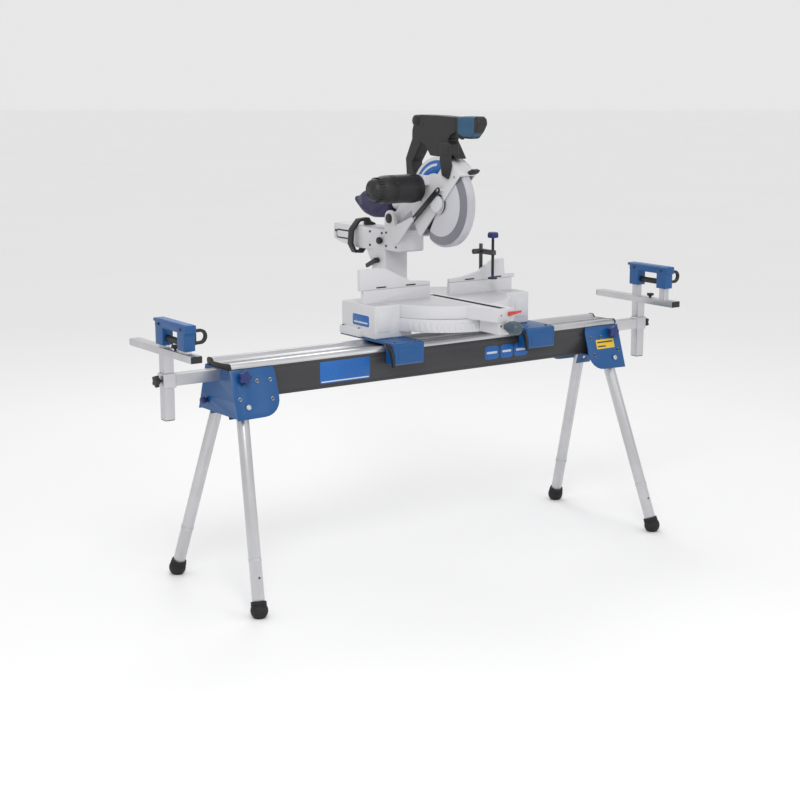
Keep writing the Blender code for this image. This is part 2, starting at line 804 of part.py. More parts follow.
def make_bail(face, word, z):
    centre = bail_axis(face, z)
    rise = BAIL_HEIGHT / 2
    reach = BAIL_REACH - rise * 0.8

    def loop(shrink):
        tall, out = rise - shrink, reach
        points = [(-0.001 + shrink * 0.6, -tall)]
        points += [(out + a, b) for a, b in arc((0, 0), tall, -80, 80, 8)]
        return points + [(-0.001 + shrink * 0.6, tall)]

    frame = Matrix.Translation((centre.x, 0, z)) @ plane_xz(centre.y)
    body = plate(f"stop_bail_{word}", loop(0.0), frame, BAIL_STRAP, BLACK)
    cut(body, plate(f"bail_eye_{word}", loop(0.010), frame, 0.04))
    barrel = rod(
        f"bail_barrel_{word}",
        centre - Z * (rise + 0.001),
        centre + Z * (rise + 0.001),
        BAIL_STRAP / 2 + 0.0007,
        sides=12,
    )
    join(body, barrel)


def make_stand():
    make_beam()
    for side, word in ((-1, "left"), (1, "right")):
        make_end_cap(side, word)
        make_bracket(side, word)
        make_leg_lock(side, word)
        make_arm(side, word)
        make_post(side, word)
        make_stop_head(side, word, HEAD_DROP if side < 0 else 0.0)
        front = -slant_y(ARM_Z - 0.016, CHEEK_OUTSIDE) - 0.001
        star_knob(
            f"arm_knob_{word}",
            (side * KNOB_X, front, ARM_Z),
            (0, -1, 0),
            0.024,
            0.020,
            NAVY,
            -front - ARM_SIZE / 2 - CLEAR,
        )
        sleeve = POST_X + POST_SIZE / 2 + CLEAR + SLEEVE_WALL
        star_knob(
            f"post_knob_{word}",
            (side * (sleeve + 0.004), 0, ARM_Z),
            (side, 0, 0),
            0.021,
            0.018,
            BLACK,
            SLEEVE_WALL + 0.004,
        )
        star_knob(
            f"head_knob_{word}",
            (side * POST_X, head_middle(), BAR_BOTTOM + BAR_HEIGHT + 0.004),
            (0, 0, 1),
            0.0145,
            0.013,
            BLACK,
            0.012,
        )
        for side_y, place in ((-1, "front"), (1, "rear")):
            make_leg(side, side_y, f"{place}_{word}")


# ---------------------------------------------------------------- saw mounts


def make_mount(x, word):
    face = -BEAM_WIDTH / 2 - 0.0018
    under = MOUNT_TOP - MOUNT_PLATE
    body = box(
        f"saw_mount_{word}",
        (x - MOUNT_HALF, MOUNT_FRONT + 0.026, under),
        (x + MOUNT_HALF, MOUNT_REAR, MOUNT_TOP),
        BLUE,
    )
    hook = box(
        f"mount_hook_{word}",
        (x - MOUNT_HALF, MOUNT_FRONT, BEAM_BOX_TOP - 0.045),
        (x + MOUNT_HALF, face, MOUNT_TOP - 0.0001),
        bevel=0.006,
    )
    upturn = box(
        f"mount_upturn_{word}",
        (x - MOUNT_HALF, MOUNT_REAR - 0.006, under + 0.001),
        (x + MOUNT_HALF, MOUNT_REAR - 0.0001, SKIRT_BOTTOM - 0.002),
    )
    rear = box(
        f"mount_rear_hook_{word}",
        (x - 0.030, -face, BEAM_BOX_TOP - 0.020),
        (x + 0.030, -face + 0.008, MOUNT_TOP - 0.002),
    )
    pin = rod(
        f"mount_pin_{word}",
        (x - MOUNT_HALF + 0.005, LEVER_Y, LEVER_Z),
        (x - MOUNT_HALF - LEVER_THICK - 0.002, LEVER_Y, LEVER_Z),
        LEVER_PIN,
        sides=12,
    )
    join(body, hook, upturn, rear, pin)
    hollow = box(
        f"mount_hollow_{word}",
        (x - MOUNT_HALF + 0.004, MOUNT_FRONT + 0.004, BEAM_BOX_TOP - 0.06),
        (x + MOUNT_HALF - 0.004, face - 0.004, MOUNT_TOP - 0.016),
    )
    cut(body, hollow)
    make_lever(x, word)


def make_lever(x, word):
    outline = beside(
        (LEVER_Y, LEVER_Z),
        [
            (0.007, -0.006),
            (0.007, 0.007),
            (-0.014, 0.008),
            (-0.036, -0.0065),
            (-0.048, -0.0425),
            (-0.051, -0.0705),
            (-0.042, -0.0705),
            (-0.037, -0.0445),
            (-0.024, -0.0175),
            (-0.006, -0.007),
        ],
    )
    left = x - MOUNT_HALF - GAP - LEVER_THICK / 2
    lever = plate(f"mount_lever_{word}", outline, plane_yz(left), LEVER_THICK, BLACK)
    hole = rod(
        f"lever_hole_{word}",
        (left - OVER, LEVER_Y, LEVER_Z),
        (left + OVER, LEVER_Y, LEVER_Z),
        LEVER_PIN + GAP,
        sides=12,
    )
    cut(lever, hole)


# ---------------------------------------------------------------- saw base and table


def disc(name, radius, low, high, finish=WHITE, sides=64):
    return rod(name, (SAW_X, TABLE_Y, low), (SAW_X, TABLE_Y, high), radius, finish, sides)


def make_base():
    """Two side wings, the pan with the scale skirt and the fixed fence with its clamp boss."""
    bottom = MOUNT_TOP + GAP
    deck = TABLE_Z
    floor = 0.008
    body = disc("saw_base", SKIRT_RADIUS, SKIRT_BOTTOM, SKIRT_TOP, WHITE)
    for side in (-1, 1):
        ends = sorted((SAW_X + side * (TABLE_RADIUS - 0.068), SAW_X + side * BASE_HALF))
        wing = box(
            f"wing_{side}",
            (ends[0], BASE_FRONT, bottom),
            (ends[1], BASE_REAR, deck),
            bevel=0.004,
        )
        step = sorted((SAW_X + side * (BASE_HALF - 0.100), SAW_X + side * (BASE_HALF + 0.012)))
        toe = box(
            f"toe_{side}",
            (step[0], TABLE_Y - 0.010, bottom),
            (step[1], BASE_REAR - 0.002, bottom + 0.030),
            bevel=0.003,
        )
        join(body, wing, toe)
    well = TABLE_RADIUS - 0.008 + CLEAR
    cut(body, disc("turntable_well", well, SKIRT_BOTTOM + floor, deck + OVER))
    cut(body, disc("turntable_rim_well", TABLE_RADIUS + 0.001, SKIRT_TOP - 0.0002, deck + OVER))
    for side in (-1, 1):
        ends = sorted((SAW_X + side * (BASE_HALF - 0.006), SAW_X + side * (SKIRT_RADIUS + 0.006)))
        hollow = box(
            f"wing_hollow_{side}",
            (ends[0], BASE_FRONT + 0.006, bottom - OVER),
            (ends[1], BASE_REAR - 0.006, deck - 0.008),
        )
        under = sorted((SAW_X + side * (TABLE_RADIUS - 0.062), SAW_X + side * (SKIRT_RADIUS + 0.012)))
        pocket = box(
            f"wing_pocket_{side}",
            (under[0], BASE_FRONT + 0.006, bottom - OVER),
            (under[1], BASE_REAR - 0.006, SKIRT_BOTTOM - 0.003),
        )
        cut(body, hollow, pocket)
    cut(body, disc("pivot_bore", PIVOT_SHAFT + GAP, SKIRT_BOTTOM - 0.046, SKIRT_BOTTOM + 0.034, sides=24))
    for side in (-1, 1):
        ends = sorted((SAW_X + side * FENCE_GAP, SAW_X + side * (BASE_HALF - 0.012)))
        strip = box(
            f"fixed_fence_{side}",
            (ends[0], TABLE_Y, deck + GAP),
            (ends[1], TABLE_Y + FENCE_THICK, FENCE_LOW),
        )
        foot = sorted((SAW_X + side * (TABLE_RADIUS + 0.010), SAW_X + side * (BASE_HALF - 0.012)))
        base = box(
            f"fence_foot_{side}",
            (foot[0], TABLE_Y, deck - 0.004),
            (foot[1], TABLE_Y + FENCE_THICK + 0.020, deck + 0.012),
        )
        join(body, strip, base)
    boss = box(
        "clamp_boss",
        (SAW_X + CLAMP_X - 0.014, TABLE_Y + FENCE_THICK - 0.001, deck + GAP),
        (SAW_X + CLAMP_X + 0.014, TABLE_Y + FENCE_THICK + 0.030, FENCE_LOW - 0.004),
    )
    join(body, boss)
    post = clamp_post_place()
    bore = rod(
        "clamp_bore",
        post + Z * (deck + 0.004),
        post + Z * (FENCE_LOW + OVER),
        CLAMP_POST + GAP,
        sides=16,
    )
    cut(body, bore)


def clamp_post_place():
    return Vector((SAW_X + CLAMP_X, TABLE_Y + FENCE_THICK + 0.016, 0.0))


def make_turntable():
    """Table with the kerf slot, front arm, rear bevel lug with its pin and the centre pivot."""
    rim = TABLE_RADIUS
    body = disc("turntable", rim, SKIRT_TOP + 0.0006, TABLE_Z, WHITE)
    lower = disc("table_lower", rim - 0.008, SKIRT_BOTTOM + 0.0086, SKIRT_TOP + 0.006, WHITE)
    front_y = TABLE_Y - rim
    arm = plate(
        "table_arm",
        [
            (SAW_X - 0.075, front_y + 0.05),
            (SAW_X - 0.036, SLOT_FRONT - 0.018),
            (SAW_X + 0.036, SLOT_FRONT - 0.018),
            (SAW_X + 0.075, front_y + 0.05),
        ],
        plane_xy((TABLE_Z + SKIRT_TOP + 0.001) / 2),
        TABLE_Z - SKIRT_TOP - 0.0012,
    )
    nose = box(
        "table_nose",
        (SAW_X - 0.026, SLOT_FRONT - 0.016, SKIRT_BOTTOM + 0.002),
        (SAW_X + 0.026, front_y - 0.012, TABLE_Z - 0.010),
        bevel=0.003,
    )
    join(body, lower, arm, nose)
    cut(body, disc("table_hollow", rim - 0.016, SKIRT_BOTTOM - OVER, TABLE_Z - 0.009))
    lug_front, lug_rear = TABLE_Y + rim - 0.012, ARM_BODY_FRONT - CLEAR
    reach = ARM_BODY_HALF - 0.004
    lug = plate(
        "bevel_lug",
        [(SAW_X - reach, SKIRT_TOP + 0.001), (SAW_X + reach, SKIRT_TOP + 0.001)]
        + arc((SAW_X, TABLE_Z), reach, 0, 180, 12),
        plane_xz((lug_front + lug_rear) / 2),
        lug_rear - lug_front,
    )
    pin = rod(
        "bevel_pin",
        (SAW_X, lug_front + 0.01, TABLE_Z),
        (SAW_X, ARM_BODY_REAR + 0.004, TABLE_Z),
        BEVEL_PIN,
    )
    pivot = disc("table_pivot", 0.030, SKIRT_BOTTOM + 0.0086, TABLE_Z - 0.004, WHITE, 24)
    shaft = disc("table_shaft", PIVOT_SHAFT, SKIRT_BOTTOM - 0.010, SKIRT_BOTTOM + 0.02, WHITE, 24)
    join(body, lug, pin, pivot, shaft)
    slot = box(
        "kerf_slot",
        (SAW_X - SLOT_HALF, SLOT_FRONT, TABLE_Z - 0.0045),
        (SAW_X + SLOT_HALF, SLOT_REAR, TABLE_Z + OVER),
    )
    throat = box(
        "throat",
        (SAW_X - 0.008, SLOT_FRONT + 0.006, TABLE_Z - 0.024),
        (SAW_X + 0.010, SLOT_REAR - 0.006, TABLE_Z + OVER),
    )
    spindle = rod(
        "lock_bore",
        (SAW_X, SLOT_FRONT - 0.03, MITRE_Z),
        (SAW_X, SLOT_FRONT + 0.012, MITRE_Z),
        SCREW_BORE,
        sides=12,
    )
    lever_bore = rod(
        "lever_bore",
        (DETENT[0], SLOT_FRONT - 0.03, DETENT[1]),
        (DETENT[0], SLOT_FRONT, DETENT[1]),
        0.0033,
        sides=12,
    )
    cut(body, slot, throat, spindle, lever_bore)
    insert = box(
        "kerf_plate",
        (SAW_X - SLOT_HALF + GAP, SLOT_FRONT + GAP, TABLE_Z - 0.0042),
        (SAW_X + SLOT_HALF - GAP, SLOT_REAR - GAP, TABLE_Z - 0.0002),
        BLACK,
    )
    kerf = box(
        "kerf",
        (SAW_X - 0.0040, SLOT_FRONT + 0.006, TABLE_Z - 0.02),
        (SAW_X + 0.0085, SLOT_REAR - 0.010, TABLE_Z + OVER),
    )
    cut(insert, kerf)


def make_mitre_controls():
    front = SLOT_FRONT - 0.018
    tilt = Vector((0, -1, 0))
    profile = [(0, 0.078), (0.012, 0.076), (0.021, 0.066), (0.0245, 0.048), (0.023, 0.030)]
    profile += [(0.016, 0.012), (0.012, 0.0), (0.0040, 0.0), (0.0040, -0.026), (0, -0.026)]
    turned("mitre_knob", profile, (SAW_X, front - 0.002, MITRE_Z), tilt, SLATE, 20)
    x, z = DETENT
    outline = beside((x, z), [(-0.009, -0.006), (0.046, 0.002), (0.048, 0.009), (-0.009, 0.008)])
    lever = plate("detent_lever", outline, plane_xz(front - 0.0046), 0.008, RED)
    join(lever, rod("detent_pin", (x, front - 0.004, z), (x, front + 0.014, z), 0.003, sides=12))


def make_fences():
    foot = FENCE_LOW + GAP
    y = TABLE_Y + FENCE_THICK / 2
    left = [
        (SAW_X - FENCE_GAP, foot),
        (SAW_X - FENCE_GAP, FENCE_LOW + 0.015),
        (SAW_X - FENCE_GAP - 0.085, FENCE_LOW + 0.021),
        (SAW_X - BASE_HALF + 0.115, FENCE_HIGH - 0.006),
        (SAW_X - BASE_HALF + 0.095, FENCE_HIGH),
        (SAW_X - BASE_HALF - 0.004, FENCE_HIGH),
        (SAW_X - BASE_HALF - 0.004, foot),
    ]
    right = [
        (SAW_X + FENCE_GAP, foot),
        (SAW_X + BASE_HALF + 0.002, foot),
        (SAW_X + BASE_HALF + 0.002, foot + 0.014),
        (SAW_X + BASE_HALF - 0.045, foot + 0.016),
        (SAW_X + BASE_HALF - 0.050, FENCE_HIGH - 0.002),
        (SAW_X + CLAMP_X + 0.032, FENCE_HIGH - 0.004),
        (SAW_X + CLAMP_X - 0.034, FENCE_LOW + 0.033),
        (SAW_X + FENCE_GAP + 0.065, FENCE_LOW + 0.019),
        (SAW_X + FENCE_GAP, FENCE_LOW + 0.015),
    ]
    for word, outline in (("left", left), ("right", right)):
        soften(plate(f"fence_{word}", outline, plane_xz(y), FENCE_THICK, WHITE), 0.0015)


def make_clamp():
    post = clamp_post_place()
    low, high = TABLE_Z + 0.005, COLLAR_Z + 0.028
    body = rod("clamp_post", post + Z * low, post + Z * high, CLAMP_POST, STEEL, 16)
    reach = box(
        "clamp_arm",
        (post.x - 0.009, CLAMP_Y - 0.010, COLLAR_Z - 0.009),
        (post.x + 0.009, post.y + 0.012, COLLAR_Z + 0.009),
        bevel=0.002,
    )
    centre = post + Z * COLLAR_Z
    knob = rod("clamp_pinch", centre - X * 0.036, centre, 0.010, sides=12)
    join(body, reach, knob)
    axis = Vector((post.x, CLAMP_Y, COLLAR_Z))
    bore = rod("clamp_screw_bore", axis - Z * 0.09, axis + Z * 0.11, CLAMP_SCREW + GAP, sides=16)
    cut(body, bore)
    knob_low, pad = 0.054, TABLE_Z + 0.052 - COLLAR_Z
    profile = [(0, knob_low + 0.022), (0.017, knob_low + 0.022), (0.019, knob_low + 0.018)]
    profile += [(0.019, knob_low + 0.002), (CLAMP_SCREW, knob_low), (CLAMP_SCREW, pad + 0.010)]
    profile += [(0.017, pad + 0.006), (0.017, pad), (0, pad)]
    turned("clamp_screw", profile, axis, (0, 0, 1), NAVY, 20)


# ---------------------------------------------------------------- saw arm, slide and head

CHOP = Vector((SAW_X, CHOP_Y, CHOP_Z))
ARBOR = Vector((SAW_X, ARBOR_Y, ARBOR_Z))
LINK_TOP = Vector((SAW_X, LINK_Y, LINK_Z))


def link_anchor():
    """The yoke's pin: as far from the link's top pivot with the head up as with it down."""
    first = math.atan2(LINK_Z - CHOP_Z, LINK_Y - CHOP_Y)
    middle = first + math.radians(CHOP_ANGLE) / 2
    return CHOP + Vector((0, math.cos(middle), math.sin(middle))) * LINK_ANCHOR


def link_span(fraction):
    """Distance from the yoke's pin to the link's top pivot at a share of the chop."""
    turn = Matrix.Rotation(math.radians(CHOP_ANGLE) * fraction, 4, "X")
    return (CHOP + turn @ (LINK_TOP - CHOP) - link_anchor()).length


def make_bevel_arm():
    half = ARM_BODY_HALF
    foot = arc((SAW_X, TABLE_Z), half, 180, 360, 14)
    outline = foot + [(SAW_X + half, HOUSING_BOTTOM + 0.01), (SAW_X - half, HOUSING_BOTTOM + 0.01)]
    mid = (ARM_BODY_FRONT + ARM_BODY_REAR) / 2
    body = plate("bevel_arm", outline, plane_xz(mid), ARM_BODY_REAR - ARM_BODY_FRONT, WHITE)
    profile = [
        (ARM_BODY_FRONT, HOUSING_BOTTOM),
        (ARM_BODY_REAR + 0.10, HOUSING_BOTTOM - 0.004),
        (HOUSING_REAR - 0.06, HOUSING_BOTTOM + 0.006),
        (HOUSING_REAR, HOUSING_BOTTOM + 0.022),
        (HOUSING_REAR, HOUSING_TOP - 0.004),
        (HOUSING_REAR - 0.006, HOUSING_TOP),
        (ARM_BODY_FRONT, HOUSING_TOP),
    ]
    housing = plate("rail_housing", profile, plane_yz(SAW_X), HOUSING_HALF * 2, WHITE)
    gusset = plate(
        "arm_gusset",
        [
            (ARM_BODY_REAR - 0.01, HOUSING_BOTTOM - 0.085),
            (ARM_BODY_REAR + 0.060, HOUSING_BOTTOM + 0.01),
            (ARM_BODY_REAR - 0.01, HOUSING_BOTTOM + 0.01),
        ],
        plane_yz(SAW_X),
        half * 1.7,
    )
    join(body, soften(housing, 0.005), gusset)
    end = ARM_BODY_FRONT + RAIL_LENGTH + 0.008
    for side in (-1, 1):
        x = SAW_X + side * RAIL_SPREAD
        bore = rod(
            f"rail_bore_{side}",
            (x, ARM_BODY_FRONT - OVER, RAIL_Z),
            (x, end, RAIL_Z),
            RAIL_RADIUS + GAP,
            sides=20,
        )
        cut(body, bore)
    bearing = rod(
        "bevel_bore",
        (SAW_X, ARM_BODY_FRONT - OVER, TABLE_Z),
        (SAW_X, ARM_BODY_REAR + OVER, TABLE_Z),
        BEVEL_PIN + GAP,
    )
    stud = Vector((SAW_X - ARM_BODY_HALF, STUD_Y, STUD_Z))
    stud_bore = rod("bevel_stud_bore", stud - X * 0.03, stud + X * 0.02, STUD_RADIUS + GAP, sides=12)
    pocket = box(
        "housing_pocket",
        (SAW_X - HOUSING_HALF + 0.006, ARM_BODY_REAR + 0.075, HOUSING_BOTTOM - 0.05),
        (SAW_X + HOUSING_HALF - 0.006, HOUSING_REAR - 0.007, HOUSING_TOP - 0.006),
    )
    cut(body, bearing, stud_bore, pocket)


def make_arm_controls():
    stud = Vector((SAW_X - ARM_BODY_HALF, STUD_Y, STUD_Z))
    outline = arc((STUD_Y, STUD_Z), 0.011, 60, 300, 6)
    outline += beside((STUD_Y, STUD_Z), [(0.067, -0.035), (0.073, -0.021)])
    lever = plate("bevel_lever", outline, plane_yz(stud.x - 0.009), 0.010, BLACK)
    join(lever, rod("bevel_stud", stud - X * 0.006, stud + X * 0.017, STUD_RADIUS, sides=12))
    top, low = HOUSING_TOP + GAP, HOUSING_BOTTOM - 0.0044
    path = [(0.030, top), (0.030, top + 0.005), (0.010, top + 0.014), (0.000, top + 0.029)]
    path += [(-0.046, top + 0.025), (-0.080, top - 0.014), (-0.085, low + 0.016)]
    path += [(-0.066, low - 0.018), (-0.030, low - 0.021), (-0.016, low - 0.006), (0.020, low - 0.005)]
    inner = [(-0.010, top), (-0.010, top + 0.018), (-0.042, top + 0.014), (-0.070, top - 0.020)]
    inner += [(-0.074, low + 0.020), (-0.060, low - 0.008), (-0.036, low - 0.010)]
    inner += [(-0.026, low), (0.020, low)]
    strap = [(SAW_X + x, z) for x, z in path] + [(SAW_X + x, z) for x, z in reversed(inner)]
    soften(plate("carry_handle", strap, plane_xz(CARRY_Y), 0.030, BLACK), 0.002)


def make_slide():
    """Two rails and the yoke that they carry, with ears for the head's pivot."""
    for side, word in ((-1, "left"), (1, "right")):
        x = SAW_X + side * RAIL_SPREAD
        rod(
            f"slide_rail_{word}",
            (x, YOKE_FRONT + 0.030 + GAP, RAIL_Z),
            (x, ARM_BODY_FRONT + RAIL_LENGTH, RAIL_Z),
            RAIL_RADIUS,
            STEEL,
            20,
        )
    rear = ARM_BODY_FRONT - 0.0012
    body = box(
        "slide_yoke",
        (SAW_X - YOKE_HALF, YOKE_FRONT, HOUSING_BOTTOM + 0.004),
        (SAW_X + YOKE_HALF, rear, HOUSING_TOP),
        WHITE,
        bevel=0.006,
    )
    for side in (-1, 1):
        outline = [(YOKE_FRONT + 0.012, HOUSING_TOP - 0.02), (rear - 0.002, HOUSING_TOP - 0.02)]
        outline += arc((CHOP_Y, CHOP_Z), 0.030, 0, 160, 8)
        ear = plate(
            f"ear_{side}",
            outline,
            plane_yz(SAW_X + side * (YOKE_HALF - EAR_THICK / 2)),
            EAR_THICK - 0.0004,
        )
        join(body, ear)
    anchor = link_anchor()
    stub_x = SAW_X - YOKE_HALF - 0.0025
    stub = [
        (YOKE_FRONT + 0.030, HOUSING_TOP - 0.045),
        (YOKE_FRONT + 0.045, HOUSING_TOP + 0.012),
    ]
    stub += arc((anchor.y, anchor.z), 0.010, 90, 270, 6)
    stub += [(YOKE_FRONT + 0.004, HOUSING_TOP - 0.045)]
    join(body, plate("link_stub", stub, plane_yz(stub_x), 0.007))
    stub_face = stub_x + 0.0035
    seat = Vector((stub_face, anchor.y, anchor.z))
    join(
        body,
        rod("link_pin", seat - X * 0.002, seat + X * 0.007, GUIDE_PIN, sides=12),
        rod("chop_pin", CHOP - X * YOKE_HALF, CHOP + X * YOKE_HALF, CHOP_PIN, sides=16),
    )
    for side in (-1, 1):
        x = SAW_X + side * RAIL_SPREAD
        socket = rod(
            f"rail_socket_{side}",
            (x, YOKE_FRONT + 0.030, RAIL_Z),
            (x, rear + OVER, RAIL_Z),
            RAIL_RADIUS + GAP,
            sides=20,
        )
        cut(body, socket)


def drum(name, radius, half, finish=WHITE, sides=56):
    return rod(name, ARBOR - X * half, ARBOR + X * half, radius, finish, sides)


def half_space(name, angle, centre=ARBOR):
    """A big block on the side of a plane through centre that the angle points to."""
    out = Vector((0, math.cos(math.radians(angle)), math.sin(math.radians(angle))))
    block = box(name, (-0.3, -0.4, 0.0), (0.3, 0.4, 0.4))
    block.matrix_world = along(centre, out) @ Matrix.Translation((0, 0, 0.2))
    return block


def make_head():
    """Upper guard drum, open towards the work, with the arm back to the chop pivot."""
    body = drum("upper_guard", GUARD_RADIUS, GUARD_HALF)
    arm = plate(
        "head_arm",
        beside(
            (CHOP_Y, CHOP_Z),
            [
                (-0.215, 0.090),
                (-0.100, 0.036),
                (-0.015, -0.018),
                (0.015, 0.012),
                (-0.100, 0.120),
                (-0.195, 0.175),
            ],
        ),
        plane_yz(SAW_X),
        0.052,
    )
    barrel_half = YOKE_HALF - EAR_THICK - CLEAR
    barrel = rod("chop_barrel", CHOP - X * barrel_half, CHOP + X * barrel_half, 0.024, WHITE, 24)
    chute_end = Vector((SAW_X, BAG_FRONT - 0.0046, ARBOR_Z - 0.0234))
    chute = rod("dust_chute", ARBOR + Vector((0, 0.165, 0.007)), chute_end, 0.021, WHITE, 16)
    join(body, arm, barrel, chute)
    cut(body, drum("guard_hollow", GUARD_RADIUS - GUARD_WALL - 0.001, GUARD_HALF - GUARD_WALL))
    cut(body, half_space("guard_mouth", 225, ARBOR + Vector((0, -0.010, -0.010))))
    gear = rod("gear_boss", ARBOR - X * 0.0495, ARBOR - X * (GUARD_HALF - 0.003), 0.030, WHITE, 24)
    journal = rod("guard_journal", ARBOR - X * 0.040, ARBOR - X * 0.0262, 0.0254, WHITE, 24)
    neck = box(
        "motor_neck",
        (SAW_X - MOTOR_NEAR + GAP, MOTOR_Y - 0.040, MOTOR_Z + 0.011),
        (SAW_X - GUARD_HALF + 0.003, MOTOR_Y + 0.030, MOTOR_Z + 0.047),
        bevel=0.003,
    )
    pin = rod("link_pivot", LINK_TOP - X * (MOTOR_NEAR - 0.002), LINK_TOP - X * 0.030, LINK_PIN, sides=16)
    join(body, gear, journal, neck, pin)
    shaft_bore = rod("shaft_bore", ARBOR - X * 0.0465, ARBOR + X * 0.010, ARBOR_RADIUS + 0.0005, sides=20)
    chop_bore = rod("chop_bore", CHOP - X * 0.1, CHOP + X * 0.1, CHOP_PIN + GAP, sides=20)
    throat_end = Vector((SAW_X, BAG_FRONT + OVER, ARBOR_Z - 0.0228))
    throat = rod("chute_bore", ARBOR + Vector((0, 0.085, 0.026)), throat_end, 0.016, sides=16)
    cut(body, shaft_bore, chop_bore, throat)


def make_lower_guard():
    body = drum("lower_guard", LOWER_RADIUS, LOWER_HALF, GUARD_GREY)
    cut(body, drum("lower_hollow", LOWER_RADIUS - LOWER_WALL * 2, LOWER_HALF - LOWER_WALL))
    cut(body, half_space("lower_rear_cut", 40), half_space("lower_top_cut", 30))
    hub = rod("lower_hub", ARBOR - X * LOWER_HALF, ARBOR - X * (LOWER_HALF - LOWER_WALL), 0.036, sides=28)
    join(body, hub)
    cut(body, rod("hub_bore", ARBOR - X * 0.05, ARBOR + X * 0.05, 0.0260, sides=24))


def make_blade():
    body = drum("saw_blade", BLADE_RADIUS, BLADE_THICK / 2, STEEL, 60)
    cut(body, rod("blade_bore", ARBOR - X * 0.01, ARBOR + X * 0.01, ARBOR_RADIUS + GAP, sides=20))
    half = BLADE_THICK / 2
    flange = [(0, 0.028), (0.009, 0.028), (0.009, 0.010), (0.024, 0.010), (0.024, half + GAP)]
    flange += [(ARBOR_RADIUS, half + GAP), (ARBOR_RADIUS, -half - GAP), (0.024, -half - GAP)]
    flange += [(0.024, -0.010), (ARBOR_RADIUS, -0.010), (ARBOR_RADIUS, -0.045), (0, -0.045)]
    turned("arbor_spindle", flange, ARBOR, X, STEEL, 20)


def make_link():
    """Flat bar with a slot that follows the yoke's pin as the head comes down."""
    anchor = link_anchor()
    down = (anchor - LINK_TOP).normalized()
    side = X.cross(down)
    middle = LINK_TOP - X * (YOKE_HALF - 0.0040)
    frame = Matrix((down, side, X)).transposed().to_4x4()
    frame = Matrix.Translation(middle) @ frame
    near, far = link_span(0.5), link_span(0.0)
    end = far + 0.0135
    outline = arc((0, 0), LINK_HALF, 90, 270, 6) + arc((end - LINK_HALF, 0), LINK_HALF, -90, 90, 6)
    body = plate("guard_link", outline, frame, 0.0050, BLACK)
    slot = arc((near, 0), GUIDE_SLOT, 90, 270, 5) + arc((far, 0), GUIDE_SLOT, -90, 90, 5)
    cut(body, plate("link_slot", slot, frame, 0.03))
    cut(body, rod("link_hole", LINK_TOP - X * 0.1, LINK_TOP, LINK_PIN + GAP, sides=16))


def make_motor():
    near, far = SAW_X - MOTOR_NEAR, SAW_X - MOTOR_FAR
    length = near - far
    radius = MOTOR_RADIUS
    profile = [(0, length), (radius * 0.62, length), (radius * 0.80, length - 0.012)]
    profile += [(radius * 0.82, length - 0.040), (radius * 0.97, length - 0.050), (radius, length - 0.060)]
    profile += [(radius, 0.030), (radius * 0.94, 0.0), (0, 0)]
    turned("motor", profile, (near, MOTOR_Y, MOTOR_Z), (-1, 0, 0), BLACK, 28)


def handle_outline():
    """Rear knob, top spine, front grip with its drooping nose, front strut and rear strut."""
    steps = [
        (0.152, 0.309), (0.165, 0.297), (0.18, 0.257), (0.181, 0.225), (0.201, 0.189),
        (0.221, 0.153), (0.215, 0.089), (0.175, 0.0503), (0.137, 0.0723), (0.177, 0.115),
        (0.179, 0.141), (0.155, 0.169), (0.123, 0.213), (0.103, 0.209), (0.068, 0.169),
        (-0.091, 0.163), (-0.065, 0.197), (-0.041, 0.227), (-0.057, 0.247), (-0.081, 0.255),
        (-0.081, 0.311), (0.025, 0.314), (0.125, 0.314),
    ]
    return beside((ARBOR_Y, ARBOR_Z), steps)


def grip_outline():
    steps = [
        (-0.0753, 0.311), (-0.0753, 0.257), (-0.097, 0.248), (-0.131, 0.237),
        (-0.167, 0.236), (-0.197, 0.263), (-0.215, 0.289), (-0.211, 0.307), (-0.197, 0.315),
        (-0.135, 0.315),
    ]
    return beside((ARBOR_Y, ARBOR_Z), steps)


def make_handle():
    spine = plate("handle", handle_outline(), plane_yz(SAW_X), HANDLE_HALF * 2, BLACK)
    body = soften(spine, 0.006)
    bridge = box(
        "strut_bridge",
        ARBOR + Vector((-0.050, -0.081, 0.173)),
        ARBOR + Vector((0, -0.023, 0.222)),
        bevel=0.006,
    )
    steps = [(-0.023, 0.217), (-0.021, 0.157), (-0.035, 0.103), (-0.069, 0.091), (-0.087, 0.137)]
    steps.append((-0.081, 0.217))
    strut = plate(
        "front_strut",
        beside((ARBOR_Y, ARBOR_Z), steps),
        plane_yz(SAW_X - GUARD_HALF - 0.0066),
        0.0120,
    )
    join(body, bridge)
    cut(body, drum("guard_seat", GUARD_RADIUS + GAP, 0.060))
    join(body, soften(strut, 0.003))
    grip = plate("grip", grip_outline(), plane_yz(SAW_X), GRIP_HALF * 2, NAVY)
    join(body, soften(grip, 0.007))
    slot = box(
        "trigger_slot",
        ARBOR + Vector((-TRIGGER_HALF - 0.0005, -0.120, 0.217)),
        ARBOR + Vector((TRIGGER_HALF + 0.0005, -0.071, 0.285)),
    )
    cut(body, slot)
    steps = [(-0.079, 0.277), (-0.077, 0.253), (-0.084, 0.236), (-0.097, 0.231), (-0.101, 0.239)]
    steps.append((-0.097, 0.277))
    plate("trigger", beside((ARBOR_Y, ARBOR_Z), steps), plane_yz(SAW_X), TRIGGER_HALF * 2, BLACK)


def make_dust_bag():
    """Soft bag on the chute behind the head: a tapered closed solid, oval in section."""
    steps = [(0, 0.002), (0.033, 0.025), (0.098, 0.035), (0.168, 0.029), (BAG_LENGTH - 0.025, -0.007)]
    steps += [(BAG_LENGTH, -0.021), (BAG_LENGTH - 0.025, -0.037), (0.168, -0.067), (0.098, -0.079)]
    steps += [(0.033, -0.071), (0, -0.047)]
    outline = beside((BAG_FRONT, ARBOR_Z), steps)
    body = plate("dust_bag", outline, plane_yz(SAW_X), BAG_HALF * 2, CLOTH)
    soften(body, 0.016, 1)


